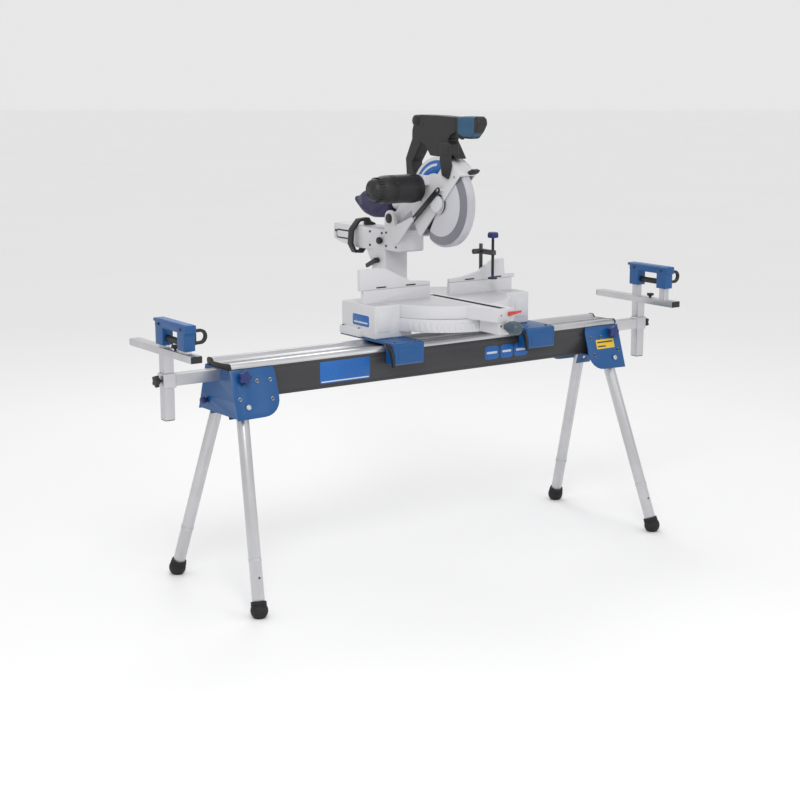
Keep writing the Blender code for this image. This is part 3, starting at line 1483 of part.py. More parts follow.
def make_saw():
    make_mount(MOUNT_LEFT, "left")
    make_mount(MOUNT_RIGHT, "right")
    make_base()
    make_turntable()
    make_mitre_controls()
    make_fences()
    make_clamp()
    make_bevel_arm()
    make_arm_controls()
    make_slide()
    make_head()
    make_lower_guard()
    make_blade()
    make_link()
    make_motor()
    make_handle()
    make_dust_bag()


def centre_on_floor():
    """Puts the origin on the floor under the middle of the bounding box, and says how far it moved."""
    bpy.context.view_layer.update()
    graph = bpy.context.evaluated_depsgraph_get()
    corners = []
    for body in PARTS.objects:
        seen = body.evaluated_get(graph)
        corners += [seen.matrix_world @ point.co for point in seen.to_mesh().vertices]
        seen.to_mesh_clear()
    low = Vector([min(point[axis] for point in corners) for axis in range(3)])
    high = Vector([max(point[axis] for point in corners) for axis in range(3)])
    shift = Vector((-(low.x + high.x) / 2, -(low.y + high.y) / 2, -low.z))
    for body in list(PARTS.objects) + list(CUTTERS.objects):
        body.matrix_world = Matrix.Translation(shift) @ body.matrix_world
    return shift


# ---------------------------------------------------------------- joints


def tools_of(body):
    """A piece's boolean tools, and their own."""
    found = []
    for step in body.modifiers:
        if step.type == "BOOLEAN":
            found += [step.object] + tools_of(step.object)
    return found


ABOVE_INVERSE = {}


def hang(name, parent, place, pieces, shift):
    """An empty on a joint's axis that carries the pieces that move with it."""
    pivot = bpy.data.objects.new(name, None)
    pivot.empty_display_size = 0.03
    pivot.location = Vector(place) + shift
    PARTS.objects.link(pivot)
    inverse = Matrix.Translation(pivot.location).inverted()
    if parent:
        above = PARTS.objects[parent]
        pivot.parent = above
        pivot.matrix_parent_inverse = ABOVE_INVERSE[parent]
    ABOVE_INVERSE[name] = inverse
    for piece in pieces:
        body = PARTS.objects[piece]
        for item in [body] + tools_of(body):
            item.parent = pivot
            item.matrix_parent_inverse = inverse


def hang_saw(shift):
    mid = (SAW_X, TABLE_Y, TABLE_Z)
    base = ("saw_base", "saw_mount_left", "saw_mount_right")
    hang("saw_carriage_slide", None, mid, base, shift)
    hang("mitre_swing", "saw_carriage_slide", mid, ("turntable", "kerf_plate"), shift)
    bevel_axis = (SAW_X, STUD_Y, TABLE_Z)
    hang("bevel_tilt", "mitre_swing", bevel_axis, ("bevel_arm", "carry_handle"), shift)
    yoke = ("slide_yoke", "slide_rail_left", "slide_rail_right")
    hang("rail_slide", "bevel_tilt", (SAW_X, YOKE_FRONT, RAIL_Z), yoke, shift)
    head = ("upper_guard", "motor", "handle", "dust_bag")
    hang("head_chop", "rail_slide", CHOP, head, shift)
    hang("blade_spin", "head_chop", ARBOR, ("saw_blade", "arbor_spindle"), shift)
    hang("lower_guard_turn", "head_chop", ARBOR, ("lower_guard",), shift)
    hang("guard_link_turn", "head_chop", LINK_TOP, ("guard_link",), shift)
    hang("trigger_press", "head_chop", ARBOR + Vector((0, -0.090, 0.250)), ("trigger",), shift)
    for side, word in ((-1, "left"), (1, "right")):
        fence = (SAW_X + side * BASE_HALF, TABLE_Y, FENCE_LOW)
        hang(f"fence_{word}_slide", "saw_carriage_slide", fence, (f"fence_{word}",), shift)
        x = MOUNT_LEFT if side < 0 else MOUNT_RIGHT
        pin = (x - MOUNT_HALF, LEVER_Y, LEVER_Z)
        hang(f"mount_lever_{word}_lift", "saw_carriage_slide", pin, (f"mount_lever_{word}",), shift)
    hang("hold_down_turn", "saw_carriage_slide", clamp_post_place() + Z * COLLAR_Z, ("clamp_post",), shift)
    screw = (SAW_X + CLAMP_X, CLAMP_Y, COLLAR_Z)
    hang("clamp_screw_feed", "hold_down_turn", screw, ("clamp_screw",), shift)
    hang("mitre_knob_turn", "mitre_swing", (SAW_X, SLOT_FRONT, MITRE_Z), ("mitre_knob",), shift)
    catch = (DETENT[0], SLOT_FRONT, DETENT[1])
    hang("detent_press", "mitre_swing", catch, ("detent_lever",), shift)
    stud = (SAW_X - ARM_BODY_HALF, STUD_Y, STUD_Z)
    hang("bevel_lever_turn", "bevel_tilt", stud, ("bevel_lever",), shift)


def hang_stand(shift):
    for side, word in ((-1, "left"), (1, "right")):
        post = (side * POST_X, 0, ARM_Z)
        hang(f"arm_{word}_slide", None, post, (f"extension_arm_{word}",), shift)
        hang(f"post_{word}_lift", f"arm_{word}_slide", post, (f"t_post_{word}",), shift)
        drop = HEAD_DROP if side < 0 else 0.0
        rest = Vector((side * POST_X, head_middle(), HEAD_BOTTOM - drop))
        hang(f"head_{word}_lift", f"post_{word}_lift", rest, (f"stop_head_{word}",), shift)
        roller = rest + Z * ROLLER_RISE
        hang(f"roller_{word}_spin", f"head_{word}_lift", roller, (f"stop_roller_{word}",), shift)
        bail = bail_axis(side * POST_X + HEAD_X / 2, (HEAD_BOTTOM + HEAD_TOP) / 2 - drop)
        hang(f"bail_{word}_swing", f"head_{word}_lift", bail, (f"stop_bail_{word}",), shift)
        grip = (side * POST_X, head_middle(), BAR_BOTTOM + BAR_HEIGHT)
        hang(f"head_knob_{word}_turn", f"post_{word}_lift", grip, (f"head_knob_{word}",), shift)
        hang(f"post_knob_{word}_turn", f"arm_{word}_slide", post, (f"post_knob_{word}",), shift)
        knob = (side * KNOB_X, -BEAM_WIDTH / 2, ARM_Z)
        hang(f"arm_knob_{word}_turn", None, knob, (f"arm_knob_{word}",), shift)
        lock = (side * WALL_OUT, lock_y(side), LOCK_Z)
        hang(f"leg_lock_{word}_pull", None, lock, (f"leg_lock_{word}",), shift)
        for side_y, place in ((-1, "front"), (1, "rear")):
            leg = f"{place}_{word}"
            pieces = (f"leg_{leg}", f"foot_{leg}")
            hang(f"leg_{leg}_fold", None, leg_pivot(side, side_y), pieces, shift)


make_stand()
make_saw()
moved = centre_on_floor()
hang_stand(moved)
hang_saw(moved)
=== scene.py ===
"""Looks of the sliding mitre saw on its folding work stand.

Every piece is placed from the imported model's own boxes and joints. Castings, plates and tubes get a
copy with rounded edges, and moulded, turned and sewn parts are built again in finer detail.
"""

import json
import math

import bmesh
import bpy
from mathutils import Matrix, Vector, noise


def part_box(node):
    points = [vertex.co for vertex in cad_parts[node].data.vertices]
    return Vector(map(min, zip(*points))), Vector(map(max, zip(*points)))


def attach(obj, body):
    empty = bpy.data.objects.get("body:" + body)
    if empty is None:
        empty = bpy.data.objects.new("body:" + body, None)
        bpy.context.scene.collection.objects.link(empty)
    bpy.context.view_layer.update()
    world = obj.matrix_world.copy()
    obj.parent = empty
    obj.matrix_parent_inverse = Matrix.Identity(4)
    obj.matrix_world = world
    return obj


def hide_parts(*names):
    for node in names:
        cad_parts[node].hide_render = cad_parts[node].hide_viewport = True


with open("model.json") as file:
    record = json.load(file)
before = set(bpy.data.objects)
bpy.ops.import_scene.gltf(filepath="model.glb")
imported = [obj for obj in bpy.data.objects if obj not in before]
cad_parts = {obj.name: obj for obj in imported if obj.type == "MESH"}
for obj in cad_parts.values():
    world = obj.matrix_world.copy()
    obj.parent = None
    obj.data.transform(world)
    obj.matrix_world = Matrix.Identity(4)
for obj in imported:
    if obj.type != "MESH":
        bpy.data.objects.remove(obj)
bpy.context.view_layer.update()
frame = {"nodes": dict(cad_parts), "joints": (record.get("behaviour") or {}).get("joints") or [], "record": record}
NODES = frame["nodes"]
RECORD = frame["record"]
BODY_OF = {node: body for body, members in RECORD["behaviour"]["bodies"].items() for node in members}
JOINTS = {joint["name"]: joint for joint in frame["joints"]}


def middle(node):
    low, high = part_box(node)
    return (low + high) / 2


def joint_at(name):
    return Vector(JOINTS[name]["pos_m"])


BEAM_LOW, BEAM_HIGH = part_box("beam_box")
BEAM = middle("beam_box")
RAIL_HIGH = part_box("beam_top_rail")[1]
ARBOR = joint_at("blade_spin")
CHOP = joint_at("head_chop")
TABLE = joint_at("mitre_swing")
SKIN = 0.0006  # thickness of a sticker or a printed patch

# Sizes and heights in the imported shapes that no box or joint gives.
CHEEK_OUT = 0.0466  # from a leg's joint to the outside of its bracket's cheek
FOOT_X, FOOT_Y, FOOT_BALL = 0.882, 0.296, 0.024  # feet from the beam's middle; height of the ball
BASE_HALF = 0.350  # from the turntable's axis to the outside of the base
BASE_FOOT = TABLE.z - 0.0877  # top of the base's bolting flange
SKIRT_LOW, SKIRT_HIGH, SKIRT_RADIUS = TABLE.z - 0.094, TABLE.z - 0.047, 0.264
TABLE_FACE = 0.2475  # radius of the machined top
HOUSING_HALF = 0.052  # rail housing, each side of the bevel axis
HOUSING_Z = TABLE.z + 0.184  # its middle height
YOKE_HALF = 0.0575
GUARD_HALF = 0.036

X, Y, Z = Vector((1, 0, 0)), Vector((0, 1, 0)), Vector((0, 0, 1))


# ---------------- materials


def new_material(name, roughness=0.5, metallic=0.0):
    made = bpy.data.materials.new(name)
    made.use_nodes = True
    shader = made.node_tree.nodes["Principled BSDF"]
    shader.inputs["Roughness"].default_value = roughness
    shader.inputs["Metallic"].default_value = metallic
    return made, made.node_tree, shader


def noise_of(tree, scale, detail=3.0, stretch=(1.0, 1.0, 1.0)):
    place = tree.nodes.new("ShaderNodeTexCoord")
    mapping = tree.nodes.new("ShaderNodeMapping")
    mapping.inputs["Scale"].default_value = stretch
    texture = tree.nodes.new("ShaderNodeTexNoise")
    texture.inputs["Scale"].default_value = scale
    texture.inputs["Detail"].default_value = detail
    tree.links.new(place.outputs["Object"], mapping.inputs["Vector"])
    tree.links.new(mapping.outputs["Vector"], texture.inputs["Vector"])
    return texture.outputs["Fac"]


def spread(tree, source, low, high):
    ranged = tree.nodes.new("ShaderNodeMapRange")
    ranged.inputs["From Min"].default_value = 0.3
    ranged.inputs["From Max"].default_value = 0.7
    ranged.inputs["To Min"].default_value = low
    ranged.inputs["To Max"].default_value = high
    tree.links.new(source, ranged.inputs["Value"])
    return ranged.outputs["Result"]


def two_tone(tree, source, dark, light, low=0.35, high=0.65):
    ramp = tree.nodes.new("ShaderNodeValToRGB")
    ramp.color_ramp.elements[0].position = low
    ramp.color_ramp.elements[1].position = high
    ramp.color_ramp.elements[0].color = (*dark, 1.0)
    ramp.color_ramp.elements[1].color = (*light, 1.0)
    tree.links.new(source, ramp.inputs["Fac"])
    return ramp.outputs["Color"]


def bump(tree, shader, source, depth, strength=1.0):
    node = tree.nodes.new("ShaderNodeBump")
    node.inputs["Distance"].default_value = depth
    node.inputs["Strength"].default_value = strength
    tree.links.new(source, node.inputs["Height"])
    tree.links.new(node.outputs["Normal"], shader.inputs["Normal"])


def shaded(colour, factor):
    return tuple(channel * factor for channel in colour)


def surface(
    name, colour, rough, metallic=0.0, grain=(900, 0.00012), mottle=9.0, stretch=(1, 1, 1), depth=0.9
):
    """A painted, moulded or metal surface: slow mottling in colour, fine grain in gloss and relief."""
    made, tree, shader = new_material(name, rough, metallic)
    slow = noise_of(tree, mottle, 4.0)
    tree.links.new(two_tone(tree, slow, shaded(colour, depth), colour), shader.inputs["Base Color"])
    fine = noise_of(tree, grain[0], 3.0, stretch)
    tree.links.new(spread(tree, fine, rough - 0.06, rough + 0.08), shader.inputs["Roughness"])
    bump(tree, shader, fine, grain[1])
    return made


def cloth_surface(name, colour):
    """Plain weave: two crossed fine waves, with a soft sheen and slow fading."""
    made, tree, shader = new_material(name, 0.85)
    shader.inputs["Sheen Weight"].default_value = 0.25
    shader.inputs["Sheen Roughness"].default_value = 0.4
    place = tree.nodes.new("ShaderNodeTexCoord")
    waves = []
    for axis in ("X", "Z"):
        wave = tree.nodes.new("ShaderNodeTexWave")
        wave.bands_direction = axis
        wave.inputs["Scale"].default_value = 170
        wave.inputs["Distortion"].default_value = 0.6
        tree.links.new(place.outputs["Object"], wave.inputs["Vector"])
        waves.append(wave.outputs["Fac"])
    both = tree.nodes.new("ShaderNodeMath")
    both.operation = "MAXIMUM"
    tree.links.new(waves[0], both.inputs[0])
    tree.links.new(waves[1], both.inputs[1])
    slow = noise_of(tree, 16, 4.0)
    tree.links.new(two_tone(tree, slow, shaded(colour, 0.7), colour), shader.inputs["Base Color"])
    bump(tree, shader, both.outputs[0], 0.0004, 0.8)
    return made


BLUE = surface("blue_coat", (0.004, 0.082, 0.262), 0.34, grain=(700, 0.00014))
NAVY = surface("navy_moulding", (0.012, 0.030, 0.150), 0.42)
BLACK = surface("black_moulding", (0.012, 0.012, 0.013), 0.48, grain=(1300, 0.00012), depth=0.75)
RUBBER = surface("foot_rubber", (0.014, 0.014, 0.014), 0.72, grain=(500, 0.0002), depth=0.7)
BEAM_PAINT = surface("beam_paint", (0.046, 0.046, 0.050), 0.36, 0.25, (260, 0.00008), 5, (0.05, 1, 1))
EXTRUDED = surface("extruded_aluminium", (0.62, 0.62, 0.64), 0.33, 0.85, (420, 0.00006), 6, (0.03, 1, 1))
TUBE = surface("tube_aluminium", (0.60, 0.60, 0.62), 0.34, 0.85, (420, 0.00005), 7, (1, 1, 0.05))
STEEL = surface("ground_steel", (0.50, 0.50, 0.51), 0.27, 1.0, (800, 0.00004), 12)
# Dark steel for bolts, screws and shafts, also used as painted shade in the rail's grooves.
DARK_STEEL_AND_SHADE = surface("dark_steel_and_groove_shade", (0.10, 0.10, 0.105), 0.32, 1.0, (800, 0.00004), 12)
CAST = surface("cast_white", (0.64, 0.64, 0.66), 0.40, grain=(320, 0.00018), mottle=4.0, depth=0.95)
MACHINED = surface("machined_table", (0.54, 0.54, 0.56), 0.42, 0.10, (700, 0.00002), 6, (1, 0.2, 1), 0.97)
DISC = surface("guard_disc", (0.56, 0.56, 0.60), 0.30, grain=(600, 0.00008), mottle=5, depth=0.94)
RING = surface("guard_ring", (0.200, 0.198, 0.235), 0.30, grain=(600, 0.00008), mottle=5)
CLEAR_RIM = surface("guard_rim", (0.52, 0.52, 0.56), 0.24, grain=(600, 0.00006), mottle=7, depth=0.8)
GRIP = surface("grip_rubber", (0.020, 0.085, 0.170), 0.55, grain=(850, 0.00022))
SLATE = surface("slate_moulding", (0.055, 0.085, 0.115), 0.40)
RED = surface("red_moulding", (0.62, 0.045, 0.045), 0.38)
YELLOW = surface("label_yellow", (0.74, 0.50, 0.035), 0.42, grain=(200, 0.00003))
DECAL = surface("decal_blue", (0.004, 0.115, 0.420), 0.30, grain=(200, 0.00003), mottle=3, depth=0.85)
PALE = surface("decal_pale", (0.60, 0.66, 0.74), 0.32, grain=(200, 0.00003))
# Ink for the printed scale and label bars, also used as painted shade in slots and recesses.
INK_AND_SHADE = surface("ink_and_painted_shade", (0.020, 0.020, 0.024), 0.5, grain=(200, 0.00002))
CLOTH = cloth_surface("bag_cloth", (0.030, 0.026, 0.085))


# ---------------- mesh tools


def link(name, mesh, material, body):
    piece = bpy.data.objects.new(name, mesh)
    bpy.context.scene.collection.objects.link(piece)
    if material is not None:
        mesh.materials.clear()
        mesh.materials.append(material)
    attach(piece, body)
    return piece


def settle(piece, smooth_angle=35):
    """Applies the piece's modifiers and shades it smooth with sharp edges kept."""
    graph = bpy.context.evaluated_depsgraph_get()
    bpy.context.view_layer.update()
    made = bpy.data.meshes.new_from_object(piece.evaluated_get(graph))
    piece.modifiers.clear()
    piece.data = made
    made.shade_smooth()
    made.set_sharp_from_angle(angle=math.radians(smooth_angle))
    return piece


def rounded(piece, width, segments):
    edge = piece.modifiers.new("rounded", "BEVEL")
    edge.width = width
    edge.segments = segments
    edge.limit_method = "ANGLE"
    edge.angle_limit = math.radians(38)
    flat = piece.modifiers.new("flat", "WEIGHTED_NORMAL")
    flat.keep_sharp = True
    return settle(piece)


def from_shape(name, shape, material, body, bevel=0.0, segments=2, smooth_angle=35):
    bmesh.ops.recalc_face_normals(shape, faces=shape.faces)
    mesh = bpy.data.meshes.new(name)
    shape.to_mesh(mesh)
    shape.free()
    piece = link(name, mesh, material, body)
    if bevel:
        return rounded(piece, bevel, segments)
    return settle(piece, smooth_angle)


def refined(node, material, bevel=0.0012, segments=2):
    """A copy of a CAD node with its flat faces merged and its edges rounded, which stands for it."""
    shape = bmesh.new()
    shape.from_mesh(NODES[node].data)
    bmesh.ops.remove_doubles(shape, verts=shape.verts, dist=0.00002)
    bmesh.ops.dissolve_limit(
        shape, angle_limit=math.radians(0.4), verts=shape.verts, edges=shape.edges
    )
    piece = from_shape(node + "_skin", shape, material, BODY_OF[node], bevel, segments)
    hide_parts(node)
    return piece


def moulded(node, material, voxel, rounds):
    """A copy of a CAD node with generously rounded moulded edges, which stands for it."""
    shape = bmesh.new()
    shape.from_mesh(NODES[node].data)
    bmesh.ops.remove_doubles(shape, verts=shape.verts, dist=0.00002)
    mesh = bpy.data.meshes.new(node + "_moulded")
    shape.to_mesh(mesh)
    shape.free()
    piece = link(node + "_moulded", mesh, material, BODY_OF[node])
    remesh = piece.modifiers.new("remesh", "REMESH")
    remesh.mode = "VOXEL"
    remesh.voxel_size = voxel
    smooth = piece.modifiers.new("smooth", "SMOOTH")
    smooth.iterations = rounds
    smooth.factor = 0.5
    settle(piece, 60)
    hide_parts(node)
    return piece


def block(name, low, high, material, body, bevel=0.0006):
    low, high = Vector(low), Vector(high)
    shape = bmesh.new()
    bmesh.ops.create_cube(shape, size=1.0)
    bmesh.ops.scale(shape, vec=high - low, verts=shape.verts)
    bmesh.ops.translate(shape, vec=(low + high) / 2, verts=shape.verts)
    return from_shape(name, shape, material, body, bevel)


def studded(name, blocks, material, body, bevel=0.0):
    """One piece made of many small blocks, each given as its size and its place."""
    shape = bmesh.new()
    for size, place in blocks:
        made = bmesh.ops.create_cube(shape, size=1.0)["verts"]
        bmesh.ops.scale(shape, vec=size, verts=made)
        bmesh.ops.transform(shape, matrix=place, verts=made)
    return from_shape(name, shape, material, body, bevel)


def closed(profile):
    return profile + [profile[0]]


def turned(centre, angle):
    """A place at centre, turned by angle about the model's Z."""
    return Matrix.Translation(centre) @ Matrix.Rotation(angle, 4, "Z")


def along(start, direction):
    turn = Vector(direction).normalized().to_track_quat("Z", "Y").to_matrix().to_4x4()
    return Matrix.Translation(Vector(start)) @ turn


def facing_x(centre):
    """A frame whose x, y are the model's Y, Z and whose z is the model's X."""
    return Matrix.Translation(Vector(centre)) @ Matrix(
        ((0, 0, 1, 0), (1, 0, 0, 0), (0, 1, 0, 0), (0, 0, 0, 1))
    )


def facing_y(centre):
    """A frame whose x, y are the model's X, Z and whose z is the model's -Y."""
    return Matrix.Translation(Vector(centre)) @ Matrix(
        ((1, 0, 0, 0), (0, 0, -1, 0), (0, 1, 0, 0), (0, 0, 0, 1))
    )


def lathe(name, profile, where, material, body, steps=48, start=0, sweep=360, bevel=0.0):
    """Spins (radius, height) points about the frame's z; a part turn is closed with end faces."""
    whole = sweep == 360
    rings = []
    shape = bmesh.new()
    for step in range(steps if whole else steps + 1):
        angle = math.radians(start + sweep * step / steps)
        ring = [
            shape.verts.new(where @ Vector((r * math.cos(angle), r * math.sin(angle), h)))
            for r, h in profile
        ]
        rings.append(ring)
    pairs = list(zip(rings, rings[1:] + ([rings[0]] if whole else [])))
    loop = (Vector(profile[0]) - Vector(profile[-1])).length < 1e-7
    for first, second in pairs:
        for a, b in zip(range(len(profile) - 1), range(1, len(profile))):
            shape.faces.new((first[a], first[b], second[b], second[a]))
    if not whole:
        for ring in (rings[0], rings[-1]):
            shape.faces.new(ring[:-1] if loop else ring)
    bmesh.ops.remove_doubles(shape, verts=shape.verts, dist=0.000005)
    return from_shape(name, shape, material, body, bevel, 2)


def extruded(name, outline, where, thickness, material, body, bevel=0.0008):
    """A flat outline given a thickness about the frame's own plane."""
    shape = bmesh.new()
    low = [shape.verts.new(where @ Vector((a, b, -thickness / 2))) for a, b in outline]
    high = [shape.verts.new(where @ Vector((a, b, thickness / 2))) for a, b in outline]
    shape.faces.new(low)
    shape.faces.new(high)
    for first in range(len(outline)):
        second = (first + 1) % len(outline)
        shape.faces.new((low[first], low[second], high[second], high[first]))
    return from_shape(name, shape, material, body, bevel)


def arc(centre, radius, start, end, steps):
    angles = [math.radians(start + (end - start) * step / steps) for step in range(steps + 1)]
    return [(centre[0] + radius * math.cos(a), centre[1] + radius * math.sin(a)) for a in angles]


def soft_rectangle(low, high, radius, steps=5):
    left, right = low[0] + radius, high[0] - radius
    bottom, top = low[1] + radius, high[1] - radius
    points = []
    for number, centre in enumerate(((right, top), (left, top), (left, bottom), (right, bottom))):
        points += arc(centre, radius, 90 * number, 90 * number + 90, steps)
    return points


def bolt(name, face, outward, radius, body, material=None, sides=6, height=None):
    """A hexagon or socket head with a washer, standing on face."""
    material = material or DARK_STEEL_AND_SHADE
    height = height or radius * 0.75
    where = along(face, outward)
    wide, thin = radius * 1.25, height * 0.25
    washer = [(0, thin), (wide, thin), (wide, 0), (0, 0)]
    lathe(name + "_washer", washer, where, STEEL, body, 20)
    head = [(0, height), (radius * 0.86, height), (radius, height * 0.82)]
    head += [(radius, height * 0.2), (0, height * 0.2)]
    return lathe(name, head, where, material, body, sides)


def socket_screw(name, face, outward, radius, body, material=None):
    """A round cap screw with a dished socket."""
    where = along(face, outward)
    top = radius * 0.7
    profile = [
        (0, top * 0.45), (radius * 0.5, top * 0.45), (radius * 0.5, top * 0.9), (radius * 0.62, top)
    ]
    profile += [(radius * 0.9, top), (radius, top * 0.8), (radius, 0), (0, 0)]
    return lathe(name, profile, where, material or DARK_STEEL_AND_SHADE, body, 20)


# ---------------- stand


def slanted(side_y):
    """Outward normal and upward direction of a bracket's slanted cheek, from the leg's joint axis."""
    axis = Vector(JOINTS["leg_rear_right_fold" if side_y > 0 else "leg_front_right_fold"]["axis"])
    normal = (axis if axis.y * side_y > 0 else -axis).normalized()
    up = X.cross(normal)
    return normal, up if up.z > 0 else -up


def dress_beam():
    refined("beam_box", BEAM_PAINT, 0.0012)
    refined("beam_top_rail", EXTRUDED, 0.0008)
    front = BEAM_LOW.y
    # Four dark steel strips along the rail: painted shade standing for its lengthwise grooves.
    for step in range(4):
        y = BEAM.y - 0.058 + step * 0.0155
        low = (BEAM_LOW.x + 0.001, y, RAIL_HIGH.z - 0.0096)
        high = (BEAM_HIGH.x - 0.001, y + 0.0011, RAIL_HIGH.z - 0.0086)
        block(f"rail_groove_shade_{step}", low, high, DARK_STEEL_AND_SHADE, "stand", bevel=0)
    for low_z in (BEAM_LOW.z + 0.005, BEAM_HIGH.z - 0.010):
        low = (BEAM_LOW.x + 0.002, front - 0.0012, low_z)
        high = (BEAM_HIGH.x - 0.002, front + 0.0005, low_z + 0.004)
        block(f"beam_bead_{low_z:.3f}", low, high, BEAM_PAINT, "stand", bevel=0.0005)
    dress_front(front)


def dress_front(front):
    """Blank blue patches with pale lines, where the beam's front carries its marks."""
    where = facing_y((BEAM.x, front - SKIN / 2, 0))
    above = facing_y((BEAM.x, front - SKIN * 1.5, 0))
    panel_low, panel_high = BEAM_LOW.z + 0.016, BEAM_HIGH.z - 0.008
    sheet = soft_rectangle((-0.503, panel_low), (-0.297, panel_high), 0.004)
    extruded("front_panel", sheet, where, SKIN, DECAL, "stand", 0.0002)
    line = soft_rectangle((-0.498, panel_low + 0.004), (-0.302, panel_low + 0.008), 0.0015)
    extruded("front_panel_line", line, above, SKIN, PALE, "stand", bevel=0)
    tile_low, tile_high = BEAM_LOW.z + 0.025, BEAM_LOW.z + 0.075
    mark_low, mark_high = BEAM_LOW.z + 0.046, BEAM_LOW.z + 0.054
    for number, (left, right) in enumerate(((0.212, 0.277), (0.285, 0.343), (0.350, 0.414))):
        tile = soft_rectangle((left, tile_low), (right, tile_high), 0.012)
        extruded(f"front_tile_{number}", tile, where, SKIN, DECAL, "stand", 0.0002)
        mark = soft_rectangle((left + 0.008, mark_low), (right - 0.008, mark_high), 0.0035)
        extruded(f"front_tile_mark_{number}", mark, above, SKIN, PALE, "stand", bevel=0)


def dress_brackets():
    bolts = ((-0.100, 0.085), (-0.050, 0.085), (-0.096, 0.020), (0.026, 0.030))
    for side, word in ((-1, "left"), (1, "right")):
        refined(f"leg_bracket_{word}", BLUE, 0.0016)
        refined(f"end_cap_{word}", BLACK, 0.0012)
        cap_x = BEAM.x + side * (BEAM_HIGH.x - BEAM.x + 0.0060)
        cap_z = BEAM_HIGH.z - 0.002
        for y in (-0.062, 0.062):
            face = (cap_x, BEAM.y + y, cap_z)
            socket_screw(f"cap_screw_{word}_{y:.2f}_{cap_z:.2f}", face, (side, 0, 0), 0.0045, "stand")
        refined(f"leg_lock_{word}", NAVY, 0.0008)
        for side_y, place in ((-1, "front"), (1, "rear")):
            normal, up = slanted(side_y)
            pivot = joint_at(f"leg_{place}_{word}_fold")
            face = pivot + normal * (CHEEK_OUT + 0.0003)
            for number, (across, high) in enumerate(bolts):
                where = face + X * side * across + up * high
                bolt(f"bracket_bolt_{word}_{place}_{number}", where, normal, 0.0052, "stand")
    dress_label()


def dress_label():
    """A yellow label without text on the front cheek of the right bracket."""
    normal, up = slanted(-1)
    face = joint_at("leg_front_right_fold") + normal * (CHEEK_OUT + SKIN / 2)
    frame_of_face = Matrix((X, up, X.cross(up))).transposed().to_4x4()
    where = Matrix.Translation(face) @ frame_of_face
    label = soft_rectangle((-0.080, 0.040), (0.010, 0.076), 0.003)
    extruded("blank_label", label, where, SKIN, YELLOW, "stand", bevel=0.0001)
    border = Matrix.Translation(face + normal * SKIN) @ frame_of_face
    for number, (low_b, high_a) in enumerate(((0.063, 0.004), (0.047, -0.034))):
        bar = soft_rectangle((-0.074, low_b), (high_a, low_b + 0.005), 0.001)
        extruded(f"label_bar_{number}", bar, border, SKIN / 2, INK_AND_SHADE, "stand", bevel=0)


def dress_legs():
    for side, word in ((-1, "left"), (1, "right")):
        for side_y, place in ((-1, "front"), (1, "rear")):
            name = f"{place}_{word}"
            body = f"leg_{name}"
            refined(f"leg_{name}", TUBE, 0.0008)
            pivot = joint_at(f"leg_{name}_fold")
            foot = Vector((BEAM.x + side * FOOT_X, BEAM.y + side_y * FOOT_Y, 0.0))
            up = (pivot - foot).normalized()
            ball = foot + up * FOOT_BALL / up.z
            for number, height in enumerate((0.012, 0.019)):
                high, low = height + 0.0012, height - 0.0012
                band = closed([(0.0268, high), (0.0281, height), (0.0268, low), (0.0258, height)])
                lathe(f"foot_rib_{name}_{number}", band, along(ball, up), RUBBER, body, 40)
            refined(f"foot_{name}", RUBBER, 0.0006)
            normal = slanted(side_y)[0]
            button = along(pivot - up * 0.560 + normal * 0.0206, normal)
            shell = [(0, 0.0016), (0.0030, 0.0014), (0.0044, 0.0), (0, -0.002)]
            lathe(f"leg_button_{name}", shell, button, DARK_STEEL_AND_SHADE, body, 16)
            seam = along(pivot - up * 0.500, up)
            collar = closed([(0.0214, 0.006), (0.0222, 0.005), (0.0222, -0.005), (0.0214, -0.006)])
            lathe(f"leg_collar_{name}", collar, seam, TUBE, body, 40)


def plug(name, centre, outward, size, body):
    """A moulded push-in end plug: a thin flange with rounded edges."""
    half_a, half_b = size
    outline = soft_rectangle((-half_a, -half_b), (half_a, half_b), 0.003)
    extruded(name, outline, along(centre, outward), 0.0030, BLACK, body, 0.0010)


def dress_arms():
    for word in ("left", "right"):
        refined(f"extension_arm_{word}", EXTRUDED, 0.0020, 3)
        refined(f"t_post_{word}", TUBE, 0.0016, 3)
        refined(f"stop_head_{word}", BLUE, 0.0022, 3)
        refined(f"stop_roller_{word}", BLACK, 0.0008)
        refined(f"stop_bail_{word}", BLACK, 0.0022, 3)
        for kind, finish in (("arm_knob", NAVY), ("post_knob", BLACK), ("head_knob", BLACK)):
            refined(f"{kind}_{word}", finish, 0.0016, 3)
        post_low, post_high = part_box(f"t_post_{word}")
        bar_z = joint_at(f"head_knob_{word}_turn").z - 0.0165
        x = (post_low.x + post_high.x) / 2
        body = f"post_{word}"
        for y, sign in ((post_low.y, -1), (post_high.y, 1)):
            end = (x, y + sign * 0.0012, bar_z)
            plug(f"bar_plug_{word}_{sign + 1}", end, (0, sign, 0), (0.0200, 0.0114), body)
        plug(f"post_plug_{word}", (x, BEAM.y, post_low.z - 0.0012), (0, 0, -1), (0.0172, 0.0172), body)
        head_low, head_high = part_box(f"stop_head_{word}")
        for number, y in enumerate((head_low.y + 0.035, head_high.y - 0.039)):
            for kind, x_face, out in (("screw", head_low.x, -1), ("screw_back", head_high.x, 1)):
                face = (x_face, y, head_high.z - 0.016)
                socket_screw(f"head_{kind}_{word}_{number}", face, (out, 0, 0), 0.0048, f"head_{word}")
        pad = soft_rectangle((-0.015, -0.088), (0.015, 0.088), 0.004)
        where = Matrix.Translation((x, (head_low.y + head_high.y) / 2 - 0.008, head_high.z + 0.0004))
        extruded(
            f"rest_pad_{word}", pad, where, 0.0008, DECAL, f"head_{word}", 0.0003
        )


